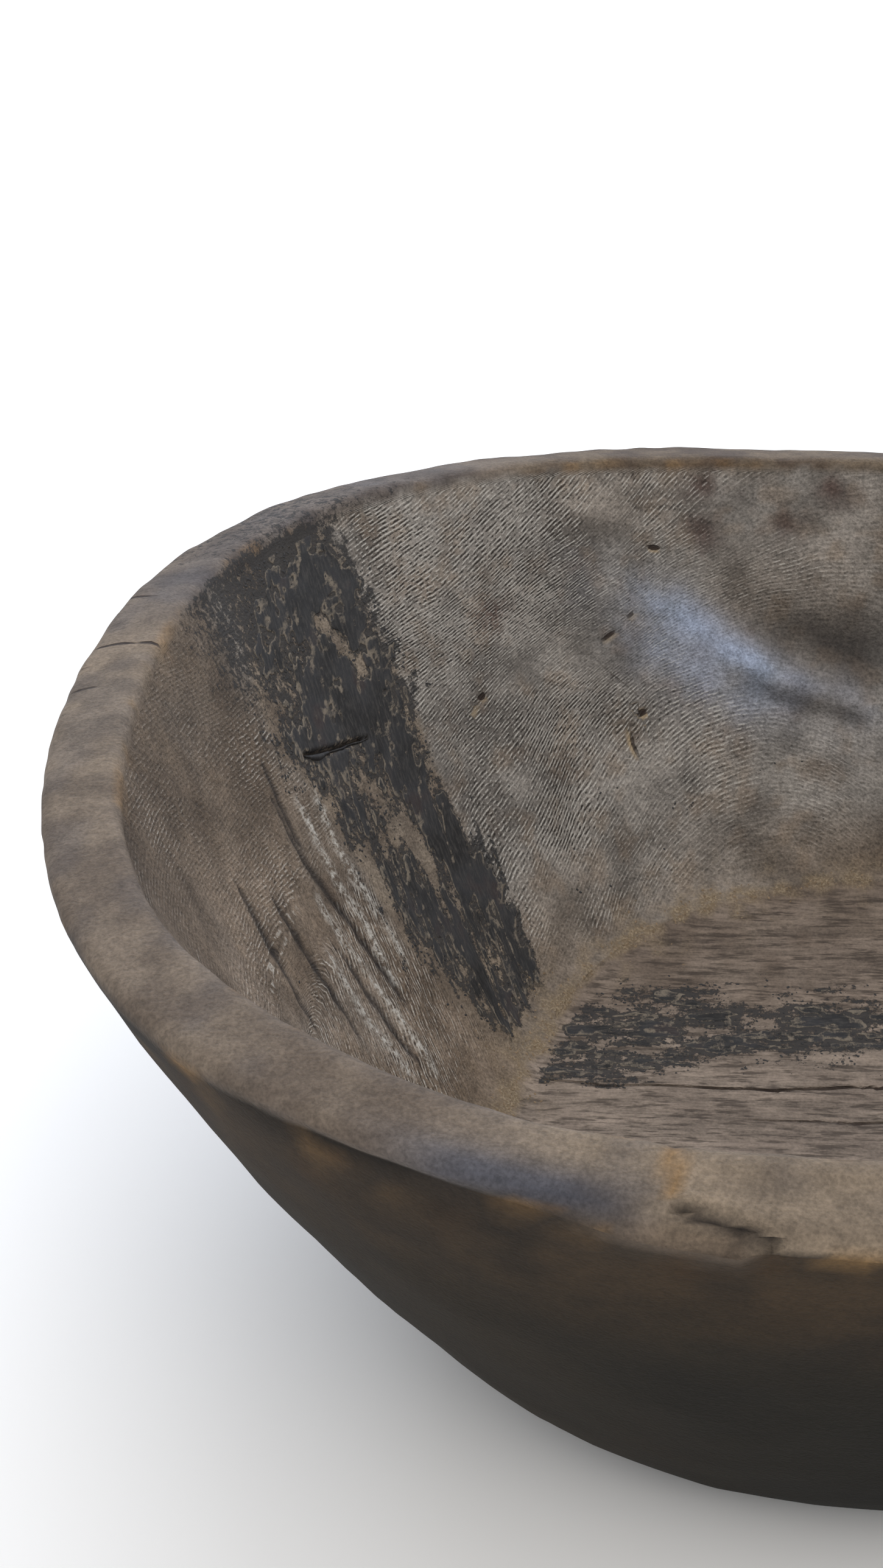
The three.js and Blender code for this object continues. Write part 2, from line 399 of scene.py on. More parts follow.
def ring_angles(count):
    even = np.linspace(0, FULL_TURN, count, endpoint=False)
    return even - CROWDING * np.sin(even - np.radians(BUSY_ANGLE))


def rounded_edge(start, corner, end, rows):
    """Rows along a rounded edge, from one face of the wood to the other."""
    shares = np.linspace(0, 1, rows)
    return [blend(blend(start, corner, share), blend(corner, end, share), share) for share in shares]


def wall_start(angle):
    """The depth at which the wall leaves the rim's rounded edge."""
    top, foot = wall_ends(angle)
    return RIM_EDGE_ROUND / (top - foot)


def crowd_wall_crack(angle, depth):
    angles, depths = np.array(WALL_CRACK[::-1]).T
    degrees = whole_degrees(angle)
    offset = (depth - np.interp(degrees, angles, depths)) * WALL_SLANT
    beside = between(degrees, angles[0] - 4, angles[0], angles[-1], angles[-1] + 4)
    return depth + beside * (crowded(offset, 14, 0.75) - offset) / WALL_SLANT


def crowd_floor_cracks(x, y):
    along, across = along_grain(x, y)
    for line, _, _ in FLOOR_CRACKS:
        starts, offsets = np.array(line).T
        offset = across - np.interp(along, starts, offsets)
        beside = between(along, starts[0] - 8, starts[0], starts[-1], starts[-1] + 8)
        inside = 1 - rise(floor_share(x, y), 0.9, 0.99)
        across = across + beside * inside * (crowded(offset, 6, 0.75) - offset)
    return turned(along, across, -GRAIN_ANGLE)


def bowl_rows():
    """Closed rows of places, each with its profile: out over the base, up, over the rim and down to the
    wall's foot."""
    coarse = ring_angles(COLUMNS // 2)
    fine = ring_angles(COLUMNS)
    rows = []
    for share in np.linspace(0, 1, BASE_ROWS + 1)[1:]:
        rows.append((polar(coarse, share * BASE_RADIUS, 0.0), share - 3))
    for share in np.linspace(0, 1, OUTSIDE_ROWS + 1)[1:-1]:
        rows.append((belly_place(coarse, share**1.5), share - 2))

    outer_edge = belly_place(fine, 1)
    inner_edge = wall_place(fine, 0)
    across = inner_edge - outer_edge
    inset = across / np.linalg.norm(across, axis=-1, keepdims=True) * RIM_EDGE_ROUND
    belly_end = belly_place(fine, 1 - RIM_EDGE_ROUND / rim_height(fine))
    start = wall_start(fine)
    top_start = outer_edge + inset
    top_end = inner_edge - inset
    rim = rounded_edge(belly_end, outer_edge, top_start, EDGE_ROWS)
    rim += [blend(top_start, top_end, share) for share in np.linspace(0, 1, RIM_ROWS + 1)[1:-1]]
    rim += rounded_edge(top_end, inner_edge, wall_place(fine, start), EDGE_ROWS)[:-1]
    rows += [(places, share - 1) for places, share in zip(rim, np.linspace(0, 1, len(rim)))]
    for share in np.linspace(0, 1, WALL_ROWS + 1):
        depth = crowd_wall_crack(fine, blend(start, 1, share))
        rows.append((wall_place(fine, depth), depth))
    return rows


def floor_grid():
    """Places inside the floor, on a square grid pressed into a round shape."""
    side = COLUMNS // 4
    lines = np.sqrt(2) * np.sin(np.linspace(-np.pi / 4, np.pi / 4, side + 1)[1:-1])
    u, v = np.meshgrid(lines, lines)
    x, y = u * np.sqrt(1 - v**2 / 2), v * np.sqrt(1 - u**2 / 2)
    even = np.arctan2(y, x)
    angle = even - CROWDING * np.sin(even - np.radians(BUSY_ANGLE))
    radius = np.hypot(x, y) * floor_radius(angle)
    x, y = crowd_floor_cracks(radius * np.cos(angle), radius * np.sin(angle))
    return floor_place(x, y), 2 - floor_share(x, y)


def ring_quads(first, second, count):
    here = np.arange(count)
    beside = (here + 1) % count
    return np.stack([first + here, first + beside, second + beside, second + here], axis=-1)


def bowl_mesh():
    """Places, profiles and faces of the whole bowl, as one closed skin."""
    rows = bowl_rows()
    floor, floor_profile = floor_grid()
    side = COLUMNS // 4
    places = [np.zeros((1, 3))] + [places for places, _ in rows] + [floor.reshape(-1, 3)]
    profiles = [np.array([-3.0])] + [np.broadcast_to(value, len(row)) for row, value in rows]
    profiles.append(floor_profile.ravel())
    starts = np.cumsum([0] + [len(part) for part in places])

    half = COLUMNS // 2
    here = np.arange(half)
    beside = (here + 1) % half
    quads = []
    triangles = [np.stack([np.zeros_like(here), 1 + beside, 1 + here], axis=-1)]
    for number in range(1, len(rows)):
        below, above = starts[number], starts[number + 1]
        count, next_count = len(rows[number - 1][0]), len(rows[number][0])
        if count == next_count:
            quads.append(ring_quads(below, above, count))
            continue
        middle = above + 2 * here + 1
        last = above + 2 * beside
        triangles.append(np.stack([below + here, below + beside, middle], axis=-1))
        triangles.append(np.stack([below + here, middle, above + 2 * here], axis=-1))
        triangles.append(np.stack([below + beside, last, middle], axis=-1))

    crease, inside = starts[-3], starts[-2]
    step = np.arange(side + 1)
    ids = np.empty((side + 1, side + 1), dtype=int)
    ids[1:-1, 1:-1] = inside + np.arange((side - 1) ** 2).reshape(side - 1, side - 1)
    ids[step, side] = crease + (step - side // 2) % COLUMNS
    ids[side, step] = crease + (side // 2 + side - step) % COLUMNS
    ids[step, 0] = crease + (side // 2 + 2 * side - step) % COLUMNS
    ids[0, step] = crease + (side // 2 + 2 * side + step) % COLUMNS
    quads.append(np.stack([ids[:-1, :-1], ids[:-1, 1:], ids[1:, 1:], ids[1:, :-1]], axis=-1).reshape(-1, 4))
    faces = np.concatenate(quads).tolist() + np.concatenate(triangles).tolist()
    return np.concatenate(places), np.concatenate(profiles), faces


# What the carver's tools and the years did to the wood, in millimetres out of its surface


def on_wall(profile):
    return between(profile, 0, 0.05, 0.95, 1)


def crease_distance(places, profile):
    """Millimetres from the line where the wall meets the floor."""
    radius = floor_radius(np.arctan2(places[..., 1], places[..., 0]))
    below = np.abs(profile - 1) * np.where(profile > 1, radius, WALL_SLANT)
    return np.where(profile > 0, below, WALL_SLANT)


def tapered(away, along, half_width):
    """1 in the middle of a cut with pointed ends, falling to 0 at its edges."""
    width = half_width * np.sqrt(np.clip(1 - (2 * along - 1) ** 2, 0.02, 1))
    return 1 - rise(np.abs(away), 0, width)


def wall_cut(x, y, marks, half_width):
    """A cut along marks on the wall."""
    return tapered(*from_marks(x, y, marks), half_width)


def wall_relief(places, angle, depth):
    x, y = unrolled(angle, np.clip(depth, 0, 1))
    degrees = whole_degrees(angle)
    hollow_away, hollow_along = from_marks(x, y, HOLLOW_LINE)
    lip_away, lip_along = from_marks(x, y, LIP_LINE)
    relief = -HOLLOW_DEPTH * hump(hollow_away, HOLLOW_REACH) * rise(hollow_along, -0.1, 0.7)
    relief += LIP_HEIGHT * hump(lip_away, LIP_REACH) * rise(lip_along, 0, 0.5)
    for marks, half_width, _ in WALL_NICKS:
        relief -= NICK_DEPTH * wall_cut(x, y, marks, half_width + 1.4)
    for at in wall_line(WALL_PITS):
        relief -= PIT_DEPTH * hump(np.hypot(x - at[0], y - at[1]), WALL_PIT_RADIUS * 0.7)
    for marks in TOOL_GROOVES:
        relief -= GROOVE_DEPTH * wall_cut(x, y, marks, 2.6)
    relief -= WALL_CRACK_DEPTH * wall_cut(x, y, WALL_CRACK, 1.3)

    coarse = between(degrees, *COARSE_WALL) * rise(depth, 0.25, 0.45)
    drift = 60 * depth + 5 * noise(places, 24, 21)
    ridges = np.sin((x - drift) * FULL_TURN / 6.5) * (0.6 + 0.6 * noise(places, 16, 22))
    crust = noise(places, 6, 24) + noise(places, 3.5, 25)
    relief += coarse * (0.4 * ridges + 0.4 * crust)
    for marks in DRY_LIT_RIDGES:
        away, along = from_marks(x, y, marks)
        relief += RIDGE_HEIGHT * hump(away, 2.2) * between(along, 0, 0.1, 0.9, 1)
    relief += 0.45 * noise(laid_flat(x, y), (11, 38, 1), 23)
    return relief * on_wall(depth)


def floor_relief(places, profile):
    along, across = along_grain(places[..., 0], places[..., 1])
    flat = laid_flat(along, across)
    relief = 0.22 * noise(flat, (38, 4.5, 1), 31) + 0.12 * noise(flat, (16, 2.4, 1), 32)
    for line, thin, wide in FLOOR_CRACKS:
        away, share = from_line(along, across, line)
        wander = 0.5 * noise(places, 9, 33)
        width = blend(thin, wide, share)
        open_part = 1 - rise(np.abs(away + wander), 0, width)
        relief -= FLOOR_CRACK_STEEPNESS * width * open_part * (share > 0) * (share < 1)
    return relief * rise(profile, 1.0, 1.04)


def from_rim_line(degrees, profile, marks):
    """The distance in millimetres from a line on the rim, and how far along it, as from_line gives them."""
    x, y = np.radians(degrees - marks[0][0]) * RIM_RADIUS, profile * RIM_FLAT_WIDTH
    angles, profiles = np.array(marks).T
    line = np.stack([np.radians(angles - angles[0]) * RIM_RADIUS, profiles * RIM_FLAT_WIDTH], axis=-1)
    return from_line(x, y, line)


def splinter(degrees):
    return between(degrees, *SPLINTER)


def rim_relief(places, degrees, profile):
    edges = hump(profile + 0.86, 0.2) + hump(profile + 0.12, 0.18)
    relief = edges * (0.7 * noise(places, 17, 41) + 0.35 * noise(places, 7, 42) - 0.2)
    relief += hump(profile + 0.5, 0.5) * 0.5 * noise(places, 30, 43)
    relief -= GAP_DEPTH * tapered(*from_rim_line(degrees, profile, RIM_GAP), 4)
    relief -= STREAK_DEPTH * tapered(*from_rim_line(degrees, profile, RIM_STREAK), 3)
    relief += SPLINTER_HEIGHT * splinter(degrees) * hump(profile + 1.0, 0.06)
    relief -= ROUNDED_DEPTH * hump(degrees - ROUNDED_ANGLE, 8) * hump(profile + 1.0, 0.1)
    relief += INNER_EDGE_RISE * between(degrees, *RAISED_INNER_EDGE) * hump(profile + 0.1, 0.17)
    return relief * between(profile, -1.12, -1, 0, 0.05)


def outside_relief(places, profile):
    cuts = scoops(places, (30, 30, 42), 51)
    relief = 1.0 * cuts + 1.1 * noise(places, 60, 52) + 0.25 * noise(places, 13, 53) - 0.4
    return relief * between(profile, -1.97, -1.8, -1.12, -0.98)


def wood_relief(places, profile):
    angle = np.arctan2(places[..., 1], places[..., 0])
    degrees = whole_degrees(angle)
    inside = rise(profile, -1, -0.8)
    relief = inside * (0.75 * noise(places, 58, 61) + 0.25 * noise(places, 21, 62))
    relief += wall_relief(places, angle, profile)
    relief += floor_relief(places, profile)
    relief += rim_relief(places, degrees, profile)
    relief += outside_relief(places, profile)
    fillet = np.clip(1 - crease_distance(places, profile) / FILLET_REACH, 0, 1) ** 2
    relief += fillet * (3.0 + 0.8 * noise(places, 4, 63) + 1.2 * noise(places, 14, 64))
    return relief


def carved(places, normals, profile):
    """The wood's real surface at places on its plain form. Near the corner of wall and floor it is raised
    towards the middle of the bowl, so that the two sides of the corner do not fold over each other."""
    angle = np.arctan2(places[..., 1], places[..., 0])
    lean = np.radians(CORNER_LEAN)
    to_middle = polar(angle, -np.sin(lean), np.cos(lean))
    share = 1 - rise(crease_distance(places, profile), 0, CORNER_REACH)
    way = blend(normals, to_middle, share[..., None])
    way = way / np.linalg.norm(way, axis=-1, keepdims=True)
    return places + way * wood_relief(places, profile)[..., None]


def surface_normals(surface, first, second):
    """Which way a surface faces, from two steps along it."""
    nudge = 1e-3
    here = surface(first, second)
    ahead = surface(first + nudge, second) - here
    aside = surface(first, second + nudge) - here
    normal = np.cross(ahead, aside)
    return normal / np.linalg.norm(normal, axis=-1, keepdims=True)


# Pitch, as a cover that is above 0 where it still lies on the wood


def wall_pitch_inset(angle, depth):
    """Millimetres from the right and from the left edge of the wall's pitch, above 0 inside it."""
    degrees = whole_degrees(angle)
    right = np.interp(depth, *np.array(PITCH_RIGHT_EDGE).T)
    left = np.interp(depth, *np.array(PITCH_LEFT_EDGE).T)
    radius = blend(WALL_TOP_RADIUS, WALL_FOOT_RADIUS, depth)
    return np.radians(degrees - right) * radius, np.radians(left - degrees) * radius


def wall_streaks(angle, depth):
    """The wall laid flat, leaning as the strokes of pitch on it do."""
    x, y = unrolled(angle, depth)
    return laid_flat(x + PITCH_STROKE_LEAN * y, y)


def floor_streaks(x, y):
    along, across = along_grain(x, y)
    return laid_flat(across, along)


def wall_pitch_cover(angle, depth):
    degrees = whole_degrees(angle)
    x, y = unrolled(angle, depth)
    drawn = wall_streaks(angle, depth)
    from_right, from_left = wall_pitch_inset(angle, depth)
    cover = np.minimum(np.clip(from_right / 6, -2.5, 0.6), np.clip(from_left / 11, -2.5, 0.6))
    cover += 0.5 * noise(drawn, (9, 13, 1), 71) + 0.6 * noise(drawn, (4.2, 5, 1), 72)
    cover += 0.6 * noise(drawn, (2, 2.3, 1), 73)
    worn = rise(depth, 0.4, 0.5)
    streaks = 0.9 * noise(drawn, (4, 40, 1), 74) + 0.7 * noise(drawn, (1.8, 13, 1), 75)
    cover += worn * (streaks - 0.62) + (1 - worn) * 0.2
    strips = hump(degrees - np.interp(depth, (0.45, 0.65, 0.8), (163.2, 159.2, 160.5)), 2.0)
    cores = hump(degrees - 154.6, 3) + hump(degrees - 167.2, 2)
    foot = rise(depth, 0.58, 0.74) * (1 - rise(degrees, 161, 167))
    cover += worn * (1 - rise(depth, 0.74, 0.84)) * (0.5 * cores - 0.9 * strips) + 0.85 * foot
    mottled = rise(degrees, 158, 164) * (1 - rise(depth, 0.22, 0.36))
    cover += mottled * (0.7 * noise(drawn, (7, 6, 1), 76) - 0.75)
    for marks, half_width in PITCH_HOLES:
        away = np.abs(from_marks(x, y, marks)[0]) + 1.8 * noise(drawn, (2.2, 3.2, 1), 77)
        cover -= 1.9 * (1 - rise(away, half_width * 0.2, half_width * 1.7))
    cover -= 3 * wall_cut(x, y, WALL_CRACK, 1.1)
    ends = between(depth, 0.042, 0.05, 0.955, 0.99)
    ragged_top = 0.8 * (1 - rise(depth, 0.05, 0.11))
    return cover - ragged_top - 3 * (1 - ends)


def floor_pitch_cover(x, y):
    along, across = along_grain(x, y)
    upper = np.interp(along, *np.array(FLOOR_PITCH_UPPER).T)
    lower = np.interp(along, *np.array(FLOOR_PITCH_LOWER).T)
    from_edge = np.minimum(upper - across, across - lower)
    flat = laid_flat(along, across)
    cover = np.clip(from_edge / 8, -2.5, 0.35)
    cover += 0.9 * noise(flat, (22, 6, 1), 81) + 0.85 * noise(flat, (8, 2.6, 1), 82)
    cover += 0.5 * noise(flat, (3, 1.3, 1), 83) - 0.28
    ends = rise(2 - floor_share(x, y), 1.03, 1.08) * (1 - rise(along, 78, 92))
    return cover - 3 * (1 - ends)


def cut_to_cover(rows, triangles, cover):
    """Keeps the part of a mesh where the cover is above 0. Each row holds all that is known of one point."""
    inside = cover[triangles] > 0
    count = inside.sum(axis=1)
    crossed = (count == 1) | (count == 2)
    corners, flags = triangles[crossed], inside[crossed]
    tip_inside = flags.sum(axis=1) == 1
    odd = np.where(tip_inside, flags.argmax(axis=1), (~flags).argmax(axis=1))
    tip, second, third = np.take_along_axis(corners, (odd[:, None] + np.arange(3)) % 3, axis=1).T
    pairs = np.sort(np.concatenate([np.stack([tip, second], 1), np.stack([tip, third], 1)]), axis=1)
    pairs, found = np.unique(pairs, axis=0, return_inverse=True)
    start, end = pairs.T
    share = (cover[start] / (cover[start] - cover[end]))[:, None]
    rows = np.concatenate([rows, blend(rows[start], rows[end], share)])
    found = found.reshape(-1) + len(cover)
    beside_second, beside_third = found[: len(tip)], found[len(tip):]
    tips = np.stack([tip, beside_second, beside_third], 1)[tip_inside]
    rest = np.concatenate([
        np.stack([beside_second, second, third], 1)[~tip_inside],
        np.stack([beside_second, third, beside_third], 1)[~tip_inside],
    ])
    kept = np.concatenate([triangles[count == 3], tips, rest])
    used, renumbered = np.unique(kept, return_inverse=True)
    return rows[used], renumbered.reshape(-1, 3)


def grid_triangles(rows, columns):
    """Two triangles for each square of a grid of points."""
    ids = np.arange(rows * columns).reshape(rows, columns)
    corners = ids[:-1, :-1], ids[:-1, 1:], ids[1:, 1:], ids[1:, :-1]
    a, b, c, d = (corner.ravel() for corner in corners)
    return np.concatenate([np.stack([a, b, c], axis=-1), np.stack([a, c, d], axis=-1)])


def layer_faces(triangles, count):
    """Faces of a thin closed layer: the top points come first, then as many bottom points."""
    edges = np.concatenate([triangles[:, [0, 1]], triangles[:, [1, 2]], triangles[:, [2, 0]]])
    codes = edges[:, 0] * count + edges[:, 1]
    twins = edges[:, 1] * count + edges[:, 0]
    start, end = edges[~np.isin(codes, twins)].T
    sides = np.stack([start, start + count, end + count, end], axis=-1)
    return triangles.tolist() + (triangles[:, ::-1] + count).tolist() + sides.tolist()


# Objects


def make_piece(name, places, faces, material):
    """A smooth mesh object from places in millimetres."""
    mesh = bpy.data.meshes.new(name)
    mesh.from_pydata((places * MM).tolist(), [], faces, shade_flat=False)
    mesh.materials.append(material)
    piece = bpy.data.objects.new(name, mesh)
    bpy.context.scene.collection.objects.link(piece)
    return piece


def paint(piece, name, values):
    """Stores values for the piece's material on its points."""
    kind, field = ("FLOAT", "value") if values.ndim == 1 else ("FLOAT_VECTOR", "vector")
    attribute = piece.data.attributes.new(name, kind, "POINT")
    attribute.data.foreach_set(field, values.astype(np.float32).ravel())


def finish_piece(piece, node):
    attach(piece, "root")
    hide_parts(node)


def steep_ripples(degrees, depth):
    """1 on the lower left of the wall, where the ripples run down it."""
    return between(degrees, *STEEP_RIPPLES) * rise(depth, 0.45, 0.6)


def ripple_height(angle, depth):
    """Millimetres across the fine ripples, which stay even along each ripple, as on a slope map."""
    steep = steep_ripples(whole_degrees(angle), depth)
    degrees = np.degrees(angle) % 180
    lifted = blend(94, 107.5, rise(depth, 0.15, 0.6))
    climb = 158 * hump(degrees - lifted, 33 - 7 * depth) + 34 * hump((degrees - 35 + 90) % 180 - 90, 30)
    slope = 1 - depth - 0.85 * depth**2 - climb / WALL_SLANT
    level = -1.25 * WALL_SLANT * np.log(1 - 0.52 * slope)
    return blend(level, unrolled(angle, depth)[0] - 60 * depth - 80, steep)


def strongest(*masks):
    return np.maximum.reduce(masks)


def ripple_mask(degrees, depth, places, hollow, lip, coated):
    """How deep the ripples are: worn smooth on the lip of the hollow, by the pitch and where their direction
    turns, and shallow in patches."""
    upper = np.interp(degrees, *np.array(UPPER_RIPPLES).T)
    lower = np.interp(degrees, *np.array(LOWER_RIPPLES).T)
    mask = blend(upper, lower, rise(depth, 0.3, 0.65)) * (0.85 + 0.75 * noise(places, 22, 91))
    steep = steep_ripples(degrees, depth)
    mask = mask * (1 - 0.7 * lip - 0.4 * hollow * (1 - lip)) * (1 - 0.8 * coated)
    mask = mask * (1 - 0.8 * rise(depth, 0.88, 0.98)) * (1 - 3.4 * steep * (1 - steep))
    return np.clip(mask, 0, 1.5)


def pitch_masks(degrees, profile, places):
    """Where pitch has stained the wood, and where loose flecks of it still stick."""
    angle = np.radians(degrees)
    depth = np.clip(profile, 0, 1)
    cover = np.where((profile > 0) & (profile < 1), wall_pitch_cover(angle, depth), -3)
    cover = np.where(profile >= 1, floor_pitch_cover(places[:, 0], places[:, 1]), cover)
    upper_left = hump(degrees - 166, 11) * between(profile, -0.02, 0, 0.14, 0.4)
    over_rim = hump(degrees - 154, 15) * between(profile, -1.02, -0.85, 0, 0.04)
    below_rim = (profile > 0) * (1 - rise(profile, 0.08, 0.14)) * hump(degrees - 157, 8)
    stain = strongest(rise(cover, -1.5, 0.7) * (profile > 0), below_rim, 0.72 * upper_left, 0.45 * over_rim)
    return stain, hump(cover + 0.35, 0.5) * (profile > 0)


def fine_cracks(x, y, degrees, profile, places):
    """How far each place is from the nearest fine crack or nick, how wide that is there, and how pale the cut
    wood beside it. The material draws the crack from these, finer than the mesh's facets."""
    away = np.full(len(x), 99.0)
    width = np.zeros(len(x))
    pale = np.zeros(len(x))
    wander = 0.5 * noise(places, 9, 33)
    along, across = along_grain(places[:, 0], places[:, 1])
    cracks = []
    for line, thin, wide in FLOOR_CRACKS:
        beside, share = from_line(along, across, line)
        ends = between(share, 0, 0.03, 0.97, 1) * (profile > 1)
        gaps = 0.75 + 0.5 * noise(places, 7, 34)
        cracks.append((beside + wander, blend(thin, wide, share) * ends * gaps, 0))
    for marks in HAIRLINES:
        beside, share = from_marks(x, y, marks)
        ends = np.sqrt(np.clip(1 - (2 * share - 1) ** 2, 0, 1)) * on_wall(profile)
        cracks.append((beside + wander, 0.22 * ends, 0))
    for marks, wide, paleness in WALL_NICKS:
        beside, share = from_marks(x, y, marks)
        ends = between(share, 0, 0.35, 0.65, 1) * on_wall(profile)
        cracks.append((beside + 0.5 * wander, wide * ends, paleness * ends))
    broken = between(profile, -1.04, -0.98, -0.02, 0.03) * np.clip(0.65 + 0.9 * noise(places, 4, 35), 0, 1)
    for at, reach, wide in RIM_CRACKS:
        beside = np.radians(degrees - at) * RIM_RADIUS + 2.5 * wander
        ends = broken * (1 - rise(profile + 1, reach - 0.1, reach + 0.05))
        cracks.append((beside, wide * ends, 0))
    for beside, wide, paleness in cracks:
        nearer = (np.abs(beside) < np.abs(away)) & (wide > 0.01)
        away = np.where(nearer, beside, away)
        width = np.where(nearer, wide, width)
        pale = np.where(nearer, paleness, pale)
    near = np.abs(away) < 5
    return np.clip(away, -30, 30), width * near, pale * near * (width > 0)


def painted_shade_mask(x, y, degrees, depth, profile, hollow, lip):
    """Painted shade in the hollow and under its lip, in the tool grooves, the wall's crack and the rim's gap,
    where little light reaches.
    """
    shade = 0.74 * hollow * rise(depth, 0.25, 0.4) * (1 - 0.8 * lip)
    under_lip, along = from_marks(x, y + 9, LIP_LINE)
    shade = np.maximum(shade, 0.55 * hump(under_lip, 4.5) * rise(along, 0.45, 0.7))
    for marks in TOOL_GROOVES:
        shade = np.maximum(shade, 0.85 * wall_cut(x, y, marks, 3.6))
    shade = np.maximum(shade, wall_cut(x, y, WALL_CRACK, 1.5)) * on_wall(profile)
    return np.maximum(shade, 0.9 * tapered(*from_rim_line(degrees, profile, RIM_GAP), 3.6))


def bruise_mask(x, y, places):
    """Old red-brown stains in the pits of the back wall."""
    bruise = np.zeros_like(x)
    ragged = 1 + 0.5 * noise(places, 4, 104)
    for at in wall_line(WALL_PITS):
        bruise = np.maximum(bruise, 0.8 * hump(np.hypot(x - at[0], y - at[1]) * ragged, WALL_PIT_RADIUS))
    return bruise


def dry_lit_ridge_mask(x, y, places):
    """Raised ridges beside the coat, pale: partly worn dry, partly a painted highlight along their crests."""
    ridges = np.zeros_like(x)
    for marks in DRY_LIT_RIDGES:
        away, along = from_marks(x, y, marks)
        ragged = away + 1.6 * noise(places, 6, 105)
        ridges = np.maximum(ridges, hump(ragged, 2.1) * between(along, 0, 0.1, 0.9, 1))
    return ridges


def worn_mask(degrees, profile, places):
    """Edges and cuts where bare ochre wood shows."""
    patchy = noise(places, 17, 96) + 0.7 * noise(places, 6, 97)
    inner_edge = hump(profile + 0.03, 0.06) * rise(patchy, 0.15, 0.7)
    outer_edge = hump(profile + 0.99, 0.07) * rise(patchy + 0.8 * hump(degrees - 192, 16), 0.15, 0.7)
    left_inner = hump(degrees - 180, 2.5) * hump(profile + 0.03, 0.07) * rise(patchy, -0.6, 0.3)
    streak = tapered(*from_rim_line(degrees, profile, RIM_STREAK), 4.5)
    return strongest(0.55 * inner_edge, 0.6 * outer_edge, 0.7 * left_inner, 0.75 * streak)


def rim_reflection_mask(degrees, profile, places):
    """Parts of the rim polished by hands, with a painted cool grey reflection of the light on them beside the
    dry wood.
    """
    patchy = patches(places, 15, 6, 0.6, 98, 0.0, 0.9)
    patchy = patchy * (1 - rise(degrees, 70, 90) * (1 - rise(degrees, 124, 134)))
    front_edge = between(degrees, *FRONT_RIM_REFLECTION) * hump(profile + 0.78, 0.26)
    back = between(degrees, *BACK_RIM_REFLECTION) * rise(profile, -1, -0.3)
    return np.clip(0.25 * patchy + front_edge + 0.38 * back, 0, 1)


def shaded_outer_edge_mask(degrees, profile, places):
    """The outer edge of the front rim, with painted shade where it rounds over away from the light."""
    return 0.8 * between(degrees, *SHADED_OUTER_EDGE) * hump(profile + 0.99 + 0.03 * noise(places, 12, 118), 0.075)


def patches(places, size, fine_size, fine_share, seed, low, high):
    """Soft-edged patches, from 0 between them to 1 inside them, of a broad and a fine size."""
    return rise(noise(places, size, seed) + fine_share * noise(places, fine_size, seed + 1), low, high)


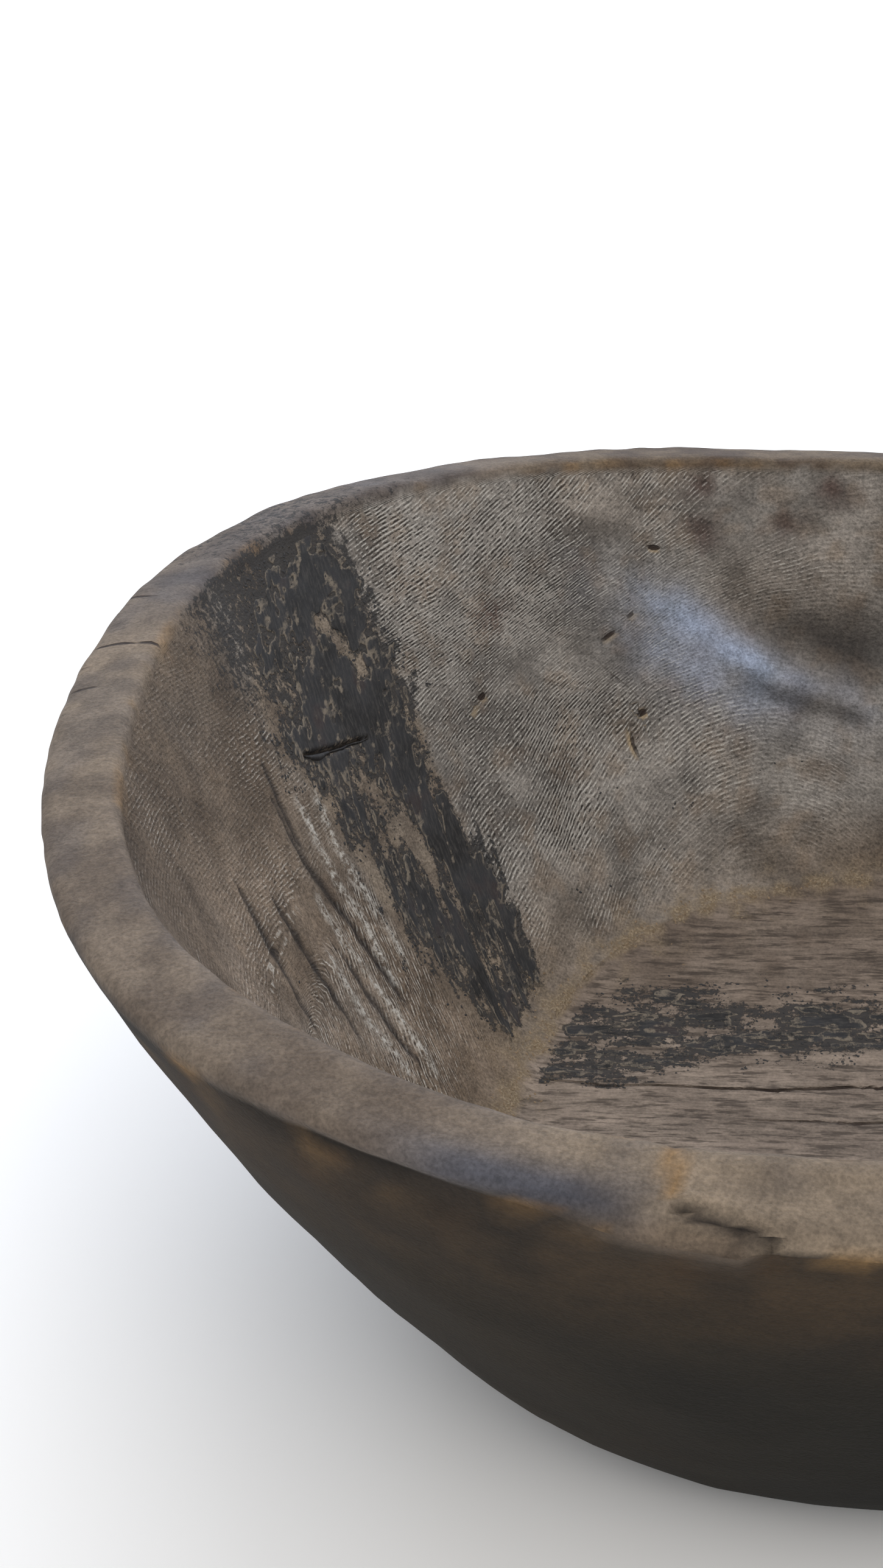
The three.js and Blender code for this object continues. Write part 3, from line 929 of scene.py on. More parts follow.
def wood_colours(x, y, degrees, depth, profile, places, coated, painted_sheen):
    """The bare wood's colour at each place: the broad ones first, then what lies over them."""
    wall = on_wall(profile)
    light = rise(0.55 * noise(places, 24, 111) + 0.6 * noise(places, 9, 112), -0.8, 0.8)
    mottled = patches(places, 12, 5, 0.7, 113, -0.7, 0.7)
    left = between(degrees, *BROWN_LEFT)
    brown = np.clip(left + 0.6 * rise(depth, 0.72, 1) + 0.35 * noise(places, 30, 93), 0, 1)
    # Darker towards the top of the left wall, just under the rim
    top_left_darkening = 0.6 * left * (1 - rise(depth, 0.15, 0.45)) * wall
    floor_back = rise(along_grain(places[:, 0], places[:, 1])[1], 55, 85)
    rim = rise(profile, -1.1, -0.93) * (1 - rise(profile + 0.03 * noise(places, 6, 94), -0.02, 0.05))
    back_rim = between(degrees, *DARK_BACK_RIM)
    dry = between(degrees, *DRY_FRONT_RIM) + 0.85 * hump(degrees - 192, 13)
    dropped = profile + SPLINTER_DROP * splinter(degrees)
    outside = 1 - rise(dropped + 0.015 * noise(places, 12, 95), -1.03, -0.975)
    # The outside is darker from the front round to the right
    darker_right = between(degrees, *DARKER_RIGHT_OUTSIDE)
    patchy = patches(places, 17, 7, 0.5, 100, 0.3, 0.9)
    under_rim = hump(profile + 1.055, 0.035) * patchy * (1 - 0.7 * darker_right)
    smooth = patches(places, 34, 9, 0.3, 116, -0.8, 0.8)
    dusty = 0.45 * patches(places, 9, 4, 0.8, 119, 0.0, 0.9) * wall
    # Each layer: where it lies, its two colours, and the pattern that mixes them
    layers = (
        (1, "#5a5550", "#868079", light),
        (brown, "#5b4f43", "#817263", light),
        (dusty, "#65574a", "#7a6a59", light),
        # darker towards the top of the left wall
        (top_left_darkening, "#3d332a", "#4a3f34", light),
        (0.8 * coated, "#5f5347", "#7b6e5f", mottled),
        # painted reflection of the cool light on the hollow's lip
        (painted_sheen, "#79818f", "#8d96a9", mottled),
        (rise(profile, 1.0, 1.03), "#6f6359", "#84776b", light),
        (0.6 * floor_back * (profile > 1), "#574a3f", "#6d6055", mottled),
        (rim, "#5a4f45", "#6c6054", mottled),
        (rim * dry, "#65594c", "#7a6c5c", mottled),
        (0.6 * splinter(degrees) * rise(-profile, 0.76, 0.96), "#41352a", "#514336", mottled),
        (rim * back_rim, "#493d33", "#625546", mottled),
        # painted reflection of the light on the polished parts of the rim
        (rim * rim_reflection_mask(degrees, profile, places), "#3a3a40", "#48484e", mottled),
        (outside, "#1c170f", "#251e14", smooth),
        (outside * darker_right, "#0e0c07", "#14110a", smooth),
        (outside * hump(profile + 1.08, 0.12), "#281f15", "#35291b", mottled),
        (outside * under_rim, "#35240f", "#4a3217", mottled),
        # painted shade along the front rim's outer edge
        (shaded_outer_edge_mask(degrees, profile, places), "#15120f", "#211d1a", mottled),
        (worn_mask(degrees, profile, places), "#6c5233", "#82653f", mottled),
        (bruise_mask(x, y, places) * wall, "#3b2c27", "#4a3832", mottled),
    )
    colours = 0
    for cover, first, second, share in layers:
        first, second = (np.array(linear(colour)[:3]) for colour in (first, second))
        mixed = blend(first, second, share[:, None])
        colours = blend(colours, mixed, np.reshape(cover, (-1, 1)))
    return colours


def paint_wood(piece, places, profile):
    """What the wood's material reads at each place."""
    angle = np.arctan2(places[:, 1], places[:, 0])
    degrees = whole_degrees(angle)
    depth = np.clip(profile, 0, 1)
    wall = on_wall(profile)
    x, y = unrolled(angle, depth)
    hollow_away, hollow_along = from_marks(x, y, HOLLOW_LINE)
    hollow = hump(hollow_away, 15) * rise(hollow_along, 0.2, 0.55) * (1 - 0.7 * rise(hollow_along, 0.65, 1))
    lip_away, lip_along = from_marks(x, y, LIP_LINE)
    lip = hump(lip_away, 15) * rise(lip_along, -0.1, 0.3)
    from_right, from_left = wall_pitch_inset(angle, depth)
    coated = rise(np.minimum(from_right + 1, from_left + 7), -3, 3) * wall

    # A painted reflection of the cool light behind the bowl, along the lip under the hollow; there the wood
    # is also made less rough.
    bright = rise(lip_along, -0.1, 0.35) * (1 - 0.75 * rise(lip_along, 0.6, 0.9))
    gloss = np.where(lip_away > 0, hump(lip_away - 3, 18), hump(lip_away, 10))
    painted_sheen = 0.9 * gloss + 0.3 * hump(lip_away, 4)
    painted_sheen = np.clip(painted_sheen * bright * wall * (0.95 + 0.45 * noise(places, 10, 115)), 0, 1)

    bare = rise(profile, -0.02, 0.05)
    outside = 1 - rise(profile, -1.03, -0.975)
    on_floor = rise(profile, 0.95, 1.05)
    crease = crease_distance(places, profile)
    dust = hump(crease, 3.6 + 1.6 * noise(places, 15, 92)) * (0.8 + 0.9 * noise(places, 5, 107))
    dust += 0.6 * hump(crease, 12) * noise(places, 5, 106)
    stain, flecks = pitch_masks(degrees, profile, places)
    crack_away, crack_width, pale_side = fine_cracks(x, y, degrees, profile, places)
    round_way = polar(angle, 200, 0.0)[:, :2]
    values = {
        "ground": wood_colours(x, y, degrees, depth, profile, places, coated, painted_sheen),
        "ripple_place": np.column_stack([ripple_height(angle, depth), round_way]),
        "ripple_depth": ripple_mask(degrees, depth, places, hollow, lip, coated) * wall,
        "grain_depth": blend(blend(0.25, 0.4, bare), 1, on_floor),
        "mottle_depth": blend(blend(0.65, 0.9, bare), 0.5, np.maximum(on_floor, outside)),
        "pore_depth": rise(profile, 1.01, 1.05),
        "dullness": blend(blend(0.8, 0.46, painted_sheen), 0.9, outside),
        "pitch_stain": stain,
        "fleck_room": flecks,
        "crease_dust": np.clip(dust, 0, 1),
        "shade": painted_shade_mask(x, y, degrees, depth, profile, hollow, lip),
        "dry_ridge": dry_lit_ridge_mask(x, y, places) * wall,
        "crack_away": crack_away,
        "crack_width": crack_width,
        "pale_side": pale_side,
    }
    for name, value in values.items():
        paint(piece, name, value)


def make_bowl(material):
    places, profile, faces = bowl_mesh()
    piece = make_piece("carved_hardwood_bowl", places, faces, material)
    normals = np.empty(len(places) * 3, dtype=np.float32)
    piece.data.vertex_normals.foreach_get("vector", normals)
    raised = carved(places, normals.reshape(-1, 3), profile)
    piece.data.vertices.foreach_set("co", (raised * MM).astype(np.float32).ravel())
    piece.data.update()
    paint_wood(piece, places, profile)
    finish_piece(piece, "carved_bowl")
    return piece


def make_layer(name, top, bottom, triangles, streaks, wear, material, node):
    """A closed layer of pitch between its top and its bottom, which have the same points."""
    piece = make_piece(name, np.concatenate([top, bottom]), layer_faces(triangles, len(top)), material)
    paint(piece, "streak_place", np.concatenate([streaks, streaks]))
    paint(piece, "wear", np.concatenate([wear, wear]))
    finish_piece(piece, node)


def make_film(name, surface, first, second, cover_of, profile_of, streak_of, material, node, high):
    """A thin film of pitch over part of the wood, flaked away where its cover has worn too low."""
    grid = np.meshgrid(first, second)
    places = surface(*grid)
    normals = surface_normals(surface, *grid)
    cover = cover_of(*grid)
    ground = carved(places, normals, profile_of(*grid))
    thick = blend(PITCH_EDGE_HIGH, high, rise(cover, 0, 0.5)) + 0.25 * high * noise(places, 6, 101)
    wear = 1 - rise(cover, 0.2, 1.0)
    parts = [ground, normals, streak_of(*grid), thick[..., None], wear[..., None]]
    ends = np.cumsum([part.shape[-1] for part in parts])
    rows = np.concatenate(parts, axis=-1).reshape(-1, ends[-1])
    rows, triangles = cut_to_cover(rows, grid_triangles(*cover.shape), cover.ravel() - PITCH_FILM_COVER)
    ground, normals, streaks, thick, wear = np.split(rows, ends[:-1], axis=1)
    top = ground + normals * thick
    bottom = ground - normals * PITCH_SUNK
    make_layer(name, top, bottom, triangles, streaks, wear[:, 0], material, node)


def make_wall_pitch(material):
    angles = np.radians(np.linspace(*WALL_FILM_ANGLES))
    depths = np.linspace(*WALL_FILM_DEPTHS)
    make_film(
        "wall_pitch_film", wall_place, angles, depths, wall_pitch_cover, lambda angle, depth: depth,
        wall_streaks, material, "wall_pitch_coat", WALL_PITCH_HIGH,
    )


def make_floor_pitch(material):
    x, y = np.linspace(*FLOOR_FILM_X), np.linspace(*FLOOR_FILM_Y)
    make_film(
        "floor_pitch_film", floor_place, x, y, floor_pitch_cover, lambda x, y: 2 - floor_share(x, y),
        floor_streaks, material, "floor_pitch_coat", FLOOR_PITCH_HIGH,
    )


def make_crack_lip(material):
    """The smooth lip of pitch pushed out under the wall's crack, thickest near its left end."""
    rows, columns = 60, 12
    shares, across = np.linspace(0, 1, rows), np.linspace(0, 1, columns)
    line = wall_line(WALL_CRACK)
    lengths = np.concatenate([[0], np.cumsum(np.hypot(*np.diff(line, axis=0).T))])
    middle_angle, middle_depth = (
        np.interp(shares, lengths / lengths[-1], values) for values in np.array(WALL_CRACK).T
    )
    swell = np.sqrt(np.clip(1 - (2 * shares - 1) ** 4, 0.01, 1)) * (0.25 + 0.6 * hump(shares - 0.16, 0.17))
    angle = np.broadcast_to(np.radians(middle_angle)[:, None], (rows, columns))
    wavy = 0.5 * noise(laid_flat(40 * shares, 0 * shares), 5, 103)
    below = 0.4 + wavy[:, None] + 3.0 * swell[:, None] * across
    depth = middle_depth[:, None] + below / WALL_SLANT
    ground = wall_place(angle, depth)
    normals = surface_normals(wall_place, angle, depth)
    relief = wood_relief(ground, depth)
    settled = np.maximum(relief, relief[:, -1:])
    rounding = np.sin(np.pi * np.clip(across, 0.03, 0.97)) ** 0.7
    top = ground + normals * (settled + rounding * (0.3 + 0.9 * swell[:, None]))[..., None]
    bottom = ground + normals * (relief - 0.8)[..., None]
    top, bottom, streaks = (part.reshape(-1, 3) for part in (top, bottom, wall_streaks(angle, depth)))
    triangles, no_wear = grid_triangles(rows, columns), np.zeros(rows * columns)
    make_layer("crack_pitch_lip", top, bottom, triangles, streaks, no_wear, material, "crack_pitch_bead")


# Nodes


# The kinds that are used often, some with their operation after a space
MULTIPLY = "ShaderNodeMath MULTIPLY"
MULTIPLY_ADD = "ShaderNodeMath MULTIPLY_ADD"
STRETCH = "ShaderNodeVectorMath MULTIPLY"
SCALE = "ShaderNodeVectorMath SCALE"
NOISE = "ShaderNodeTexNoise"
RAMP = "ShaderNodeMapRange"
ATTRIBUTE = "ShaderNodeAttribute"
MIX = "ShaderNodeMix"

# Their sockets, by number where a name stands for several: a mix node's two colours and its result, and the
# values where a ramp starts and ends and what it gives there
MIX_A, MIX_B, MIX_RESULT = 6, 7, 2
NOISE_INPUTS = ("Vector", "Scale", "Detail", "Roughness")
RAMP_INPUTS = ("Value", 1, 2, 3, 4)


def linear(colour):
    """A hex sRGB colour as linear red, green, blue and alpha."""
    parts = [int(colour[start:start + 2], 16) / 255 for start in (1, 3, 5)]
    return [part / 12.92 if part <= 0.04045 else ((part + 0.055) / 1.055) ** 2.4 for part in parts] + [1.0]


def add_node(tree, kind, inputs=(), output=0, **settings):
    """Adds a node with its settings, sets or links its inputs, given in order or by name, and returns one of
    its outputs, or the node where it has none."""
    kind, *operation = kind.split()
    node = tree.nodes.new(kind)
    if operation:
        node.operation = operation[0]
    for name, value in settings.items():
        setattr(node, name, value)
    for name, value in inputs.items() if isinstance(inputs, dict) else enumerate(inputs):
        if isinstance(value, bpy.types.NodeSocket):
            tree.links.new(value, node.inputs[name])
        else:
            node.inputs[name].default_value = value
    return node.outputs[output] if len(node.outputs) else node


def add_nodes(tree, kind, inputs, table, **settings):
    """Adds a node for each row of a table, which gives the values for its inputs in their order."""
    return {name: add_node(tree, kind, dict(zip(inputs, row)), **settings) for name, row in table.items()}


# Bits strewn over the wood


def strewing_tree():
    """A Geometry Nodes tree that strews small flat bits over a surface, as thickly as a mask on it says."""
    tree = bpy.data.node_groups.new("strewn_bits", "GeometryNodeTree")
    inputs = {
        "Surface": "NodeSocketGeometry",
        "Mask": "NodeSocketString",
        "Bits per square metre": "NodeSocketFloat",
        "Smallest": "NodeSocketFloat",
        "Largest": "NodeSocketFloat",
        "Seed": "NodeSocketInt",
        "Material": "NodeSocketMaterial",
    }
    for name, kind in inputs.items():
        tree.interface.new_socket(name, in_out="INPUT", socket_type=kind)
    tree.interface.new_socket("Bits", in_out="OUTPUT", socket_type="NodeSocketGeometry")
    given = tree.nodes.new("NodeGroupInput").outputs
    room = add_node(tree, "GeometryNodeInputNamedAttribute", {"Name": given["Mask"]}, data_type="FLOAT")
    density = add_node(tree, MULTIPLY, (room, given["Bits per square metre"]))
    inputs = {"Mesh": given["Surface"], "Density": density, "Seed": given["Seed"]}
    points = add_node(tree, "GeometryNodeDistributePointsOnFaces", inputs, "Points")
    lots = add_node(tree, "FunctionNodeRandomValue", {"Seed": given["Seed"]}, data_type="FLOAT_VECTOR")
    lot = add_node(tree, "ShaderNodeSeparateXYZ", {"Vector": lots})
    mostly_small = add_node(tree, "ShaderNodeMath POWER", (lot, 2.5))
    size = add_node(tree, RAMP, {"Value": mostly_small, 3: given["Smallest"], 4: given["Largest"]})
    flat = add_node(tree, SCALE, {0: (1, 0.62, 0.36), "Scale": size})
    turn = add_node(tree, MULTIPLY, (lot.node.outputs["Y"], FULL_TURN))
    turn = add_node(tree, "ShaderNodeCombineXYZ", {"Z": turn})
    turned_bit = {"Rotation": points.node.outputs["Rotation"], "Rotate By": turn}
    turned_bit = add_node(tree, "FunctionNodeRotateRotation", turned_bit, rotation_space="LOCAL")
    bit = add_node(tree, "GeometryNodeMeshIcoSphere", {"Radius": 0.5, "Subdivisions": 1}, "Mesh")
    inputs = {"Points": points, "Instance": bit, "Rotation": turned_bit, "Scale": flat}
    bits = add_node(tree, "GeometryNodeInstanceOnPoints", inputs)
    bits = add_node(tree, "GeometryNodeRealizeInstances", {"Geometry": bits})
    bits = add_node(tree, "GeometryNodeSetMaterial", {"Geometry": bits, "Material": given["Material"]})
    add_node(tree, "NodeGroupOutput", {"Bits": bits})
    return tree


def strew(name, tree, surface, settings):
    """A plain mesh of the bits that the tree strews over a piece."""
    piece = bpy.data.objects.new(name, surface.data)
    bpy.context.scene.collection.objects.link(piece)
    modifier = piece.modifiers.new("strewn_bits", "NODES")
    modifier.node_group = tree
    for item in tree.interface.items_tree:
        if item.name in settings:
            modifier[item.identifier] = settings[item.name]
    evaluated = piece.evaluated_get(bpy.context.evaluated_depsgraph_get())
    mesh = bpy.data.meshes.new_from_object(evaluated)
    piece.modifiers.clear()
    piece.data = mesh
    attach(piece, "root")


def strew_bits(bowl, pitch, dust):
    tree = strewing_tree()
    sizes = {"Smallest": SMALLEST_BIT * MM, "Largest": LARGEST_BIT * MM}
    flecks = {"Mask": "fleck_room", "Bits per square metre": 600000.0, "Seed": 7, "Material": pitch}
    crumbs = {"Mask": "crease_dust", "Bits per square metre": 480000.0, "Seed": 11, "Material": dust}
    strew("pitch_flecks", tree, bowl, flecks | sizes)
    strew("crease_dust_crumbs", tree, bowl, crumbs | sizes)


# Materials


def new_material(name):
    material = bpy.data.materials.new(name)
    material.use_nodes = True
    material.node_tree.nodes.clear()
    return material, material.node_tree


def finish_material(tree, look):
    """Ends a material with its shader, which glints only weakly unless its look says otherwise."""
    shader = add_node(tree, "ShaderNodeBsdfPrincipled", {"Specular IOR Level": 0.25} | look)
    add_node(tree, "ShaderNodeOutputMaterial", {"Surface": shader})


def old_wood_material():
    """Weathered hardwood, hollowed with hand tools: dull grey and brown, with light tops on the ripples that
    the tools left, partly worn dry and partly painted highlight, painted shade in the grooves between them,
    dark pores along the floor's grain, and a smoother rim."""
    material, tree = new_material("weathered_hardwood_hand_hollowed")
    names = ("ripple_depth", "grain_depth", "mottle_depth", "pore_depth", "dullness", "pitch_stain", "shade",
             "crease_dust", "dry_ridge", "crack_away", "crack_width", "pale_side")
    masks = {name: add_node(tree, ATTRIBUTE, output="Fac", attribute_name=name) for name in names}
    ripple_place = add_node(tree, ATTRIBUTE, output="Vector", attribute_name="ripple_place")
    place = add_node(tree, "ShaderNodeTexCoord", output="Object")
    in_mm = add_node(tree, SCALE, {0: place, "Scale": 1 / MM})
    on_grain = {"Vector": in_mm, "Angle": -np.radians(GRAIN_ANGLE)}
    on_grain = add_node(tree, "ShaderNodeVectorRotate", on_grain, rotation_type="Z_AXIS")
    # Grain is drawn nine times as long as wide, and pores six times
    grain_place = add_node(tree, STRETCH, (on_grain, (1 / 9, 1, 1)))
    pore_place = add_node(tree, STRETCH, (on_grain, (1 / 6, 1, 1)))
    # Each noise: the place that it reads, 1 over its size in millimetres, its detail and its roughness
    noises = add_nodes(tree, NOISE, NOISE_INPUTS, {
        "broad_grain": (grain_place, 1 / 5, 4, 0.6),
        "fine_grain": (grain_place, 1 / 1.3, 3, 0.6),
        "pores": (pore_place, 1 / 2.4, 3, 0.7),
        "mottles": (in_mm, 1 / 2.2, 5, 0.7),
        "flakes": (in_mm, 1 / 2.6, 8, 0.8),
        "specks": (in_mm, 1 / 0.9, 2, 0.5),
        "bends": (ripple_place, 1 / 36, 1, 0.5),
        "wobbles": (ripple_place, 1 / 6, 1, 0.5),
    })

    # Ripples: rows of short dashes that wander, fade and break, as a scraping edge leaves them
    split = add_node(tree, "ShaderNodeSeparateXYZ", {"Vector": ripple_place})
    across = add_node(tree, MULTIPLY_ADD, (noises["bends"], 9.0, split))
    across = add_node(tree, MULTIPLY_ADD, (noises["wobbles"], 0.9, across))
    rows = {"X": across, "Y": split.node.outputs["Y"], "Z": split.node.outputs["Z"]}
    rows = add_node(tree, "ShaderNodeCombineXYZ", rows)
    dashes = add_node(tree, STRETCH, (rows, (1 / 1.5, 1 / 2.3, 1 / 2.3)))
    breaks = add_node(tree, NOISE, {"Vector": dashes, "Scale": 1.0, "Detail": 2, "Roughness": 0.65})
    unbroken = add_node(tree, RAMP, {"Value": breaks, 1: 0.38, 2: 0.62}, interpolation_type="SMOOTHSTEP")
    jagged = add_node(tree, MULTIPLY_ADD, (noises["mottles"], 0.8, across))
    turns = add_node(tree, MULTIPLY, (jagged, FULL_TURN / RIPPLE_SPACING))
    ripple = add_node(tree, "ShaderNodeMath SINE", (turns,))
    for part in (unbroken, masks["ripple_depth"]):
        ripple = add_node(tree, MULTIPLY, (ripple, part))

    grain = add_node(tree, "ShaderNodeMath ADD", (noises["broad_grain"], noises["fine_grain"]))
    crack_side = add_node(tree, "ShaderNodeMath ABSOLUTE", (masks["crack_away"],))
    crack_side = add_node(tree, MULTIPLY_ADD, (noises["mottles"], -0.5, crack_side))
    in_crack = add_node(tree, "ShaderNodeMath SUBTRACT", (masks["crack_width"], crack_side))
    uncovered = add_node(tree, RAMP, {"Value": noises["flakes"], 1: 0.34, 2: 0.66, 3: 0.02, 4: 0.98})
    stain = add_node(tree, "ShaderNodeMath SUBTRACT", (masks["pitch_stain"], uncovered))
    # Each ramp: its source, the values where it starts and ends, and what it gives there
    ramps = add_nodes(tree, RAMP, RAMP_INPUTS, {
        "pore": (noises["pores"], 0.49, 0.64, 0.0, 0.75),
        "ripple_top": (ripple, 0.1, 0.75, 0.0, 0.85),
        "speckled_top": (noises["specks"], 0.3, 0.6, 0.4, 1.0),
        "flaky_ridge": (noises["mottles"], 0.42, 0.6, 0.0, 1.0),
        "grain_light": (grain, 0.7, 1.3, -0.3, 0.24),
        "speck_light": (noises["specks"], 0.28, 0.72, -0.23, 0.23),
        "mottle_light": (noises["mottles"], 0.3, 0.7, -0.26, 0.26),
        "dusting": (noises["mottles"], 0.34, 0.54, 0.35, 1.0),
        "dust_top": (noises["specks"], 0.4, 0.65, 0.0, 0.8),
        "pitch": (stain, -0.08, 0.12, 0.0, 0.92),
        "crack": (in_crack, -0.15, 0.25, 0.0, 1.0),
        "crack_ends": (masks["crack_width"], 0.0, 0.55, 0.0, 0.95),
        "cut_starts": (masks["crack_away"], -0.3, 0.7, 0.0, 0.9),
        "cut_stops": (masks["crack_away"], 1.2, 2.8, 1.0, 0.0),
        # painted shade in the ripples' grooves
        "ripple_groove_shade": (ripple, -1.2, -0.3, 0.8, 0.0),
    }, interpolation_type="SMOOTHSTEP")

    pore = add_node(tree, MULTIPLY, (masks["pore_depth"], ramps["pore"]))
    dry_and_lit_tops = add_node(tree, MULTIPLY, (ramps["ripple_top"], ramps["speckled_top"]))
    ridges = add_node(tree, MULTIPLY, (masks["dry_ridge"], ramps["flaky_ridge"]))
    dry_and_lit_tops = add_node(tree, "ShaderNodeMath MAXIMUM", (dry_and_lit_tops, ridges))
    dust = add_node(tree, MULTIPLY, (masks["crease_dust"], ramps["dusting"]))
    dust_tops = add_node(tree, MULTIPLY, (dust, ramps["dust_top"]))
    crack = add_node(tree, MULTIPLY, (ramps["crack"], ramps["crack_ends"]))

    cut_wood = masks["pale_side"]
    for part in (ramps["cut_starts"], ramps["cut_stops"]):
        cut_wood = add_node(tree, MULTIPLY, (cut_wood, part))

    # The ripples paint light on their tops and shade in their grooves; grain, specks and mottles add the
    # wood's own lighter and darker tone
    light = add_node(tree, MULTIPLY_ADD, (ripple, 0.58, 1.0))
    height = ripple
    for name, mask in (("grain", "grain_depth"), ("speck", "mottle_depth"), ("mottle", "mottle_depth")):
        shade = add_node(tree, MULTIPLY, (ramps[name + "_light"], masks[mask]))
        light = add_node(tree, "ShaderNodeMath ADD", (light, shade))
        height = add_node(tree, MULTIPLY_ADD, (shade, 1.7, height))
    ground = add_node(tree, ATTRIBUTE, output="Color", attribute_name="ground")
    colour = add_node(tree, "ShaderNodeHueSaturation", {"Value": light, "Color": ground})
    # Painted shade in the ripples' grooves, pale ripple tops and ridges that are partly dry wood and partly
    # painted highlight, and last painted shade in the hollow, grooves, cracks and gap
    layers = (
        (pore, "#3a322c"),
        (ramps["ripple_groove_shade"], "#302a25"),
        (dry_and_lit_tops, "#b2aea6"),
        (ramps["pitch"], "#302f2f"),
        (dust, "#73634e"),
        (dust_tops, "#9a8a73"),
        (cut_wood, "#98866c"),
        (crack, "#261c17"),
        (masks["shade"], "#181617"),
    )
    for cover, over in layers:
        inputs = {0: cover, MIX_A: colour, MIX_B: linear(over)}
        colour = add_node(tree, MIX, inputs, MIX_RESULT, data_type="RGBA")

    for part, times in ((pore, -1.0), (ramps["pitch"], 0.4), (dust_tops, 1.5), (crack, -3.0)):
        height = add_node(tree, MULTIPLY_ADD, (part, times, height))
    normal = add_node(tree, "ShaderNodeBump", {"Height": height, "Distance": 0.2 * MM, "Strength": 1.0})
    look = {"Base Color": colour, "Roughness": masks["dullness"], "Normal": normal, "IOR": 1.48}
    finish_material(tree, look)
    return material


def pitch_material():
    """Wood pitch, brushed on hot and long worn: charcoal with a faint shine, scratched along its strokes, and
    dusted with the wood's colour wherever it is thin."""
    material, tree = new_material("old_wood_pitch_brushed")
    streak_place = add_node(tree, ATTRIBUTE, output="Vector", attribute_name="streak_place")
    wear = add_node(tree, ATTRIBUTE, output="Fac", attribute_name="wear")
    drawn_out = add_node(tree, STRETCH, (streak_place, (1, 1 / 4, 1)))
    broader = add_node(tree, STRETCH, (streak_place, (0.6, 1, 1)))
    # Each noise: the place that it reads, 1 over its size in millimetres, its detail and its roughness
    noises = add_nodes(tree, NOISE, NOISE_INPUTS, {
        "scratches": (drawn_out, 1 / 1.1, 4, 0.7),
        "mottles": (broader, 1 / 1.3, 8, 0.85),
        "lumps": (streak_place, 1 / 7, 3, 0.6),
        "clouds": (streak_place, 1 / 16, 2, 0.5),
    })
    thin = noises["mottles"]
    for part, times in ((noises["lumps"], 0.7), (noises["scratches"], 0.2), (wear, 0.3)):
        thin = add_node(tree, MULTIPLY_ADD, (part, times, thin))
    # Each ramp: its source, the values where it starts and ends, and what it gives there
    ramps = add_nodes(tree, RAMP, RAMP_INPUTS, {
        "dusty": (thin, 1.14, 1.32, 0.0, 0.85),
        "scratched": (noises["scratches"], 0.46, 0.7, 0.0, 0.7),
        "cloudy": (noises["clouds"], 0.35, 0.65, 0.0, 1.0),
        "ruddy": (noises["clouds"], 0.6, 0.7, 0.0, 0.6),
        "dullness": (thin, 1.0, 1.3, 0.58, 0.85),
    })
    colour = linear("#1e1d1d")
    layers = (("cloudy", "#303032"), ("ruddy", "#342927"), ("scratched", "#494643"), ("dusty", "#7b7164"))
    for name, over in layers:
        inputs = {0: ramps[name], MIX_A: colour, MIX_B: linear(over)}
        colour = add_node(tree, MIX, inputs, MIX_RESULT, data_type="RGBA")
    height = add_node(tree, MULTIPLY_ADD, (noises["mottles"], 1.2, noises["scratches"]))
    normal = add_node(tree, "ShaderNodeBump", {"Height": height, "Distance": 0.2 * MM, "Strength": 1.0})
    look = {"Base Color": colour, "Roughness": ramps["dullness"], "Normal": normal, "IOR": 1.5}
    finish_material(tree, look)
    return material


def dust_material():
    """Old meal and dust, packed dry into the corner: pale tan and matt, each crumb a little different."""
    material, tree = new_material("packed_dry_dust")
    place = add_node(tree, "ShaderNodeTexCoord", output="Object")
    in_mm = add_node(tree, SCALE, {0: place, "Scale": 1 / MM})
    lumps = add_node(tree, NOISE, {"Vector": in_mm, "Scale": 1 / 1.8, "Detail": 2})
    pale = add_node(tree, RAMP, {"Value": lumps, 1: 0.35, 2: 0.65})
    inputs = {0: pale, MIX_A: linear("#6a5a48"), MIX_B: linear("#86745e")}
    colour = add_node(tree, MIX, inputs, MIX_RESULT, data_type="RGBA")
    normal = add_node(tree, "ShaderNodeBump", {"Height": lumps, "Distance": 0.1 * MM, "Strength": 1.0})
    finish_material(tree, {"Base Color": colour, "Roughness": 0.9, "Normal": normal, "IOR": 1.45})
    return material


def floor_material():
    """Matt white studio paper, to show the bowl plainly."""
    material, tree = new_material("studio_paper_matt")
    finish_material(tree, {"Base Color": linear("#f4f3f1"), "Roughness": 0.8, "Specular IOR Level": 0.5})
    return material


# The studio


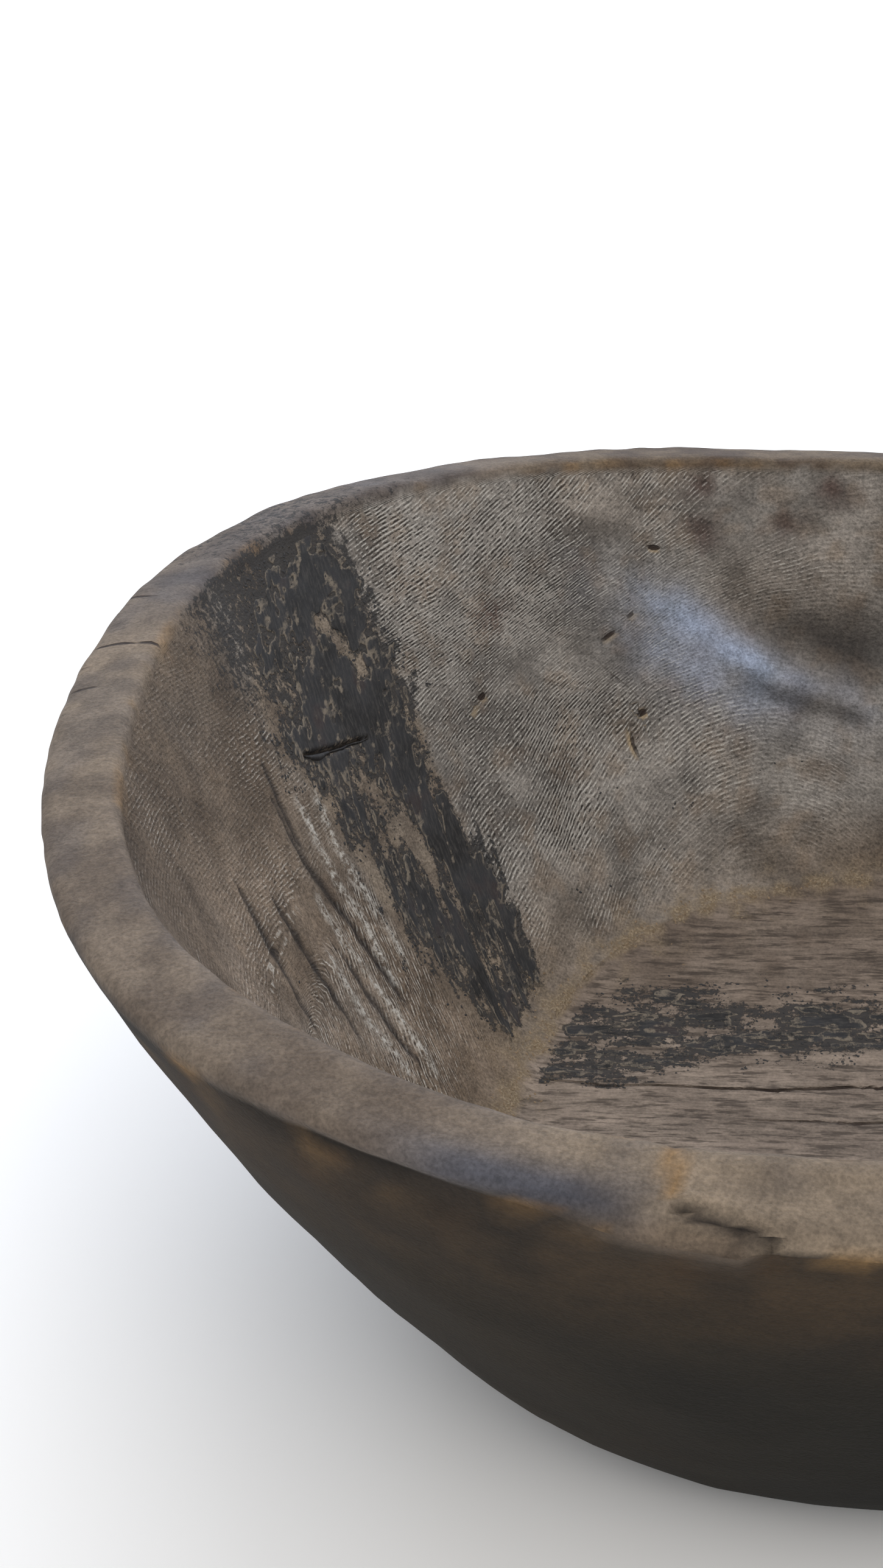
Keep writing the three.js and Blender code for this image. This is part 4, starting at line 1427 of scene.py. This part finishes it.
# The camera's sensor and lens in millimetres, its place in metres, and how far it looks down and to the left
SENSOR_WIDTH = 36
LENS = 54.08
CAMERA_PLACE = (0, -0.6287, 0.4918)
LOOKS_DOWN = 27.7
LOOKS_LEFT = 12.1


def make_camera():
    """The photograph's view: above the front rim, looking down and a little to the left."""
    data = bpy.data.cameras.new("camera")
    data.sensor_width = SENSOR_WIDTH
    data.lens = LENS
    camera = bpy.data.objects.new("camera", data)
    camera.location = CAMERA_PLACE
    camera.rotation_euler = (np.radians(90 - LOOKS_DOWN), 0, np.radians(LOOKS_LEFT))
    bpy.context.scene.collection.objects.link(camera)
    bpy.context.scene.camera = camera


def make_floor():
    reach = 20000.0
    corners = np.array([(-reach, -reach, 0), (reach, -reach, 0), (reach, reach, 0), (-reach, reach, 0)])
    floor = make_piece("studio_floor", corners, [(0, 1, 2, 3)], floor_material())


def make_light(name, place, size, watts, colour):
    data = bpy.data.lights.new(name, "AREA")
    data.shape = "RECTANGLE"
    data.size, data.size_y = size
    data.energy = watts
    data.color = linear(colour)[:3]
    light = bpy.data.objects.new(name, data)
    light.location = place
    to_bowl = Vector((0, 0, 0.1)) - Vector(place)
    light.rotation_euler = to_bowl.to_track_quat("-Z", "Y").to_euler()
    bpy.context.scene.collection.objects.link(light)


def make_studio():
    world = bpy.data.worlds.new("soft_white_room")
    world.use_nodes = True
    world.node_tree.nodes.clear()
    sky = {"Color": linear("#f3f6fb"), "Strength": 0.92}
    background = add_node(world.node_tree, "ShaderNodeBackground", sky)
    add_node(world.node_tree, "ShaderNodeOutputWorld", {"Surface": background})
    bpy.context.scene.world = world
    bpy.context.scene.view_settings.view_transform = "Standard"
    make_light("window_behind", (-0.4, 2.5, 1.5), (3.0, 1.4), 40, "#e2ecff")
    make_light("skylight", (-0.2, 1.3, 2.4), (2.0, 2.0), 22, "#f2f6ff")
    make_light("room_in_front", (0.6, -1.8, 2.2), (2.4, 1.6), 32, "#fff8ee")


make_camera()
make_studio()
make_floor()
bowl = make_bowl(old_wood_material())
pitch = pitch_material()
strew_bits(bowl, pitch, dust_material())
make_wall_pitch(pitch)
make_floor_pitch(pitch)
make_crack_lip(pitch)
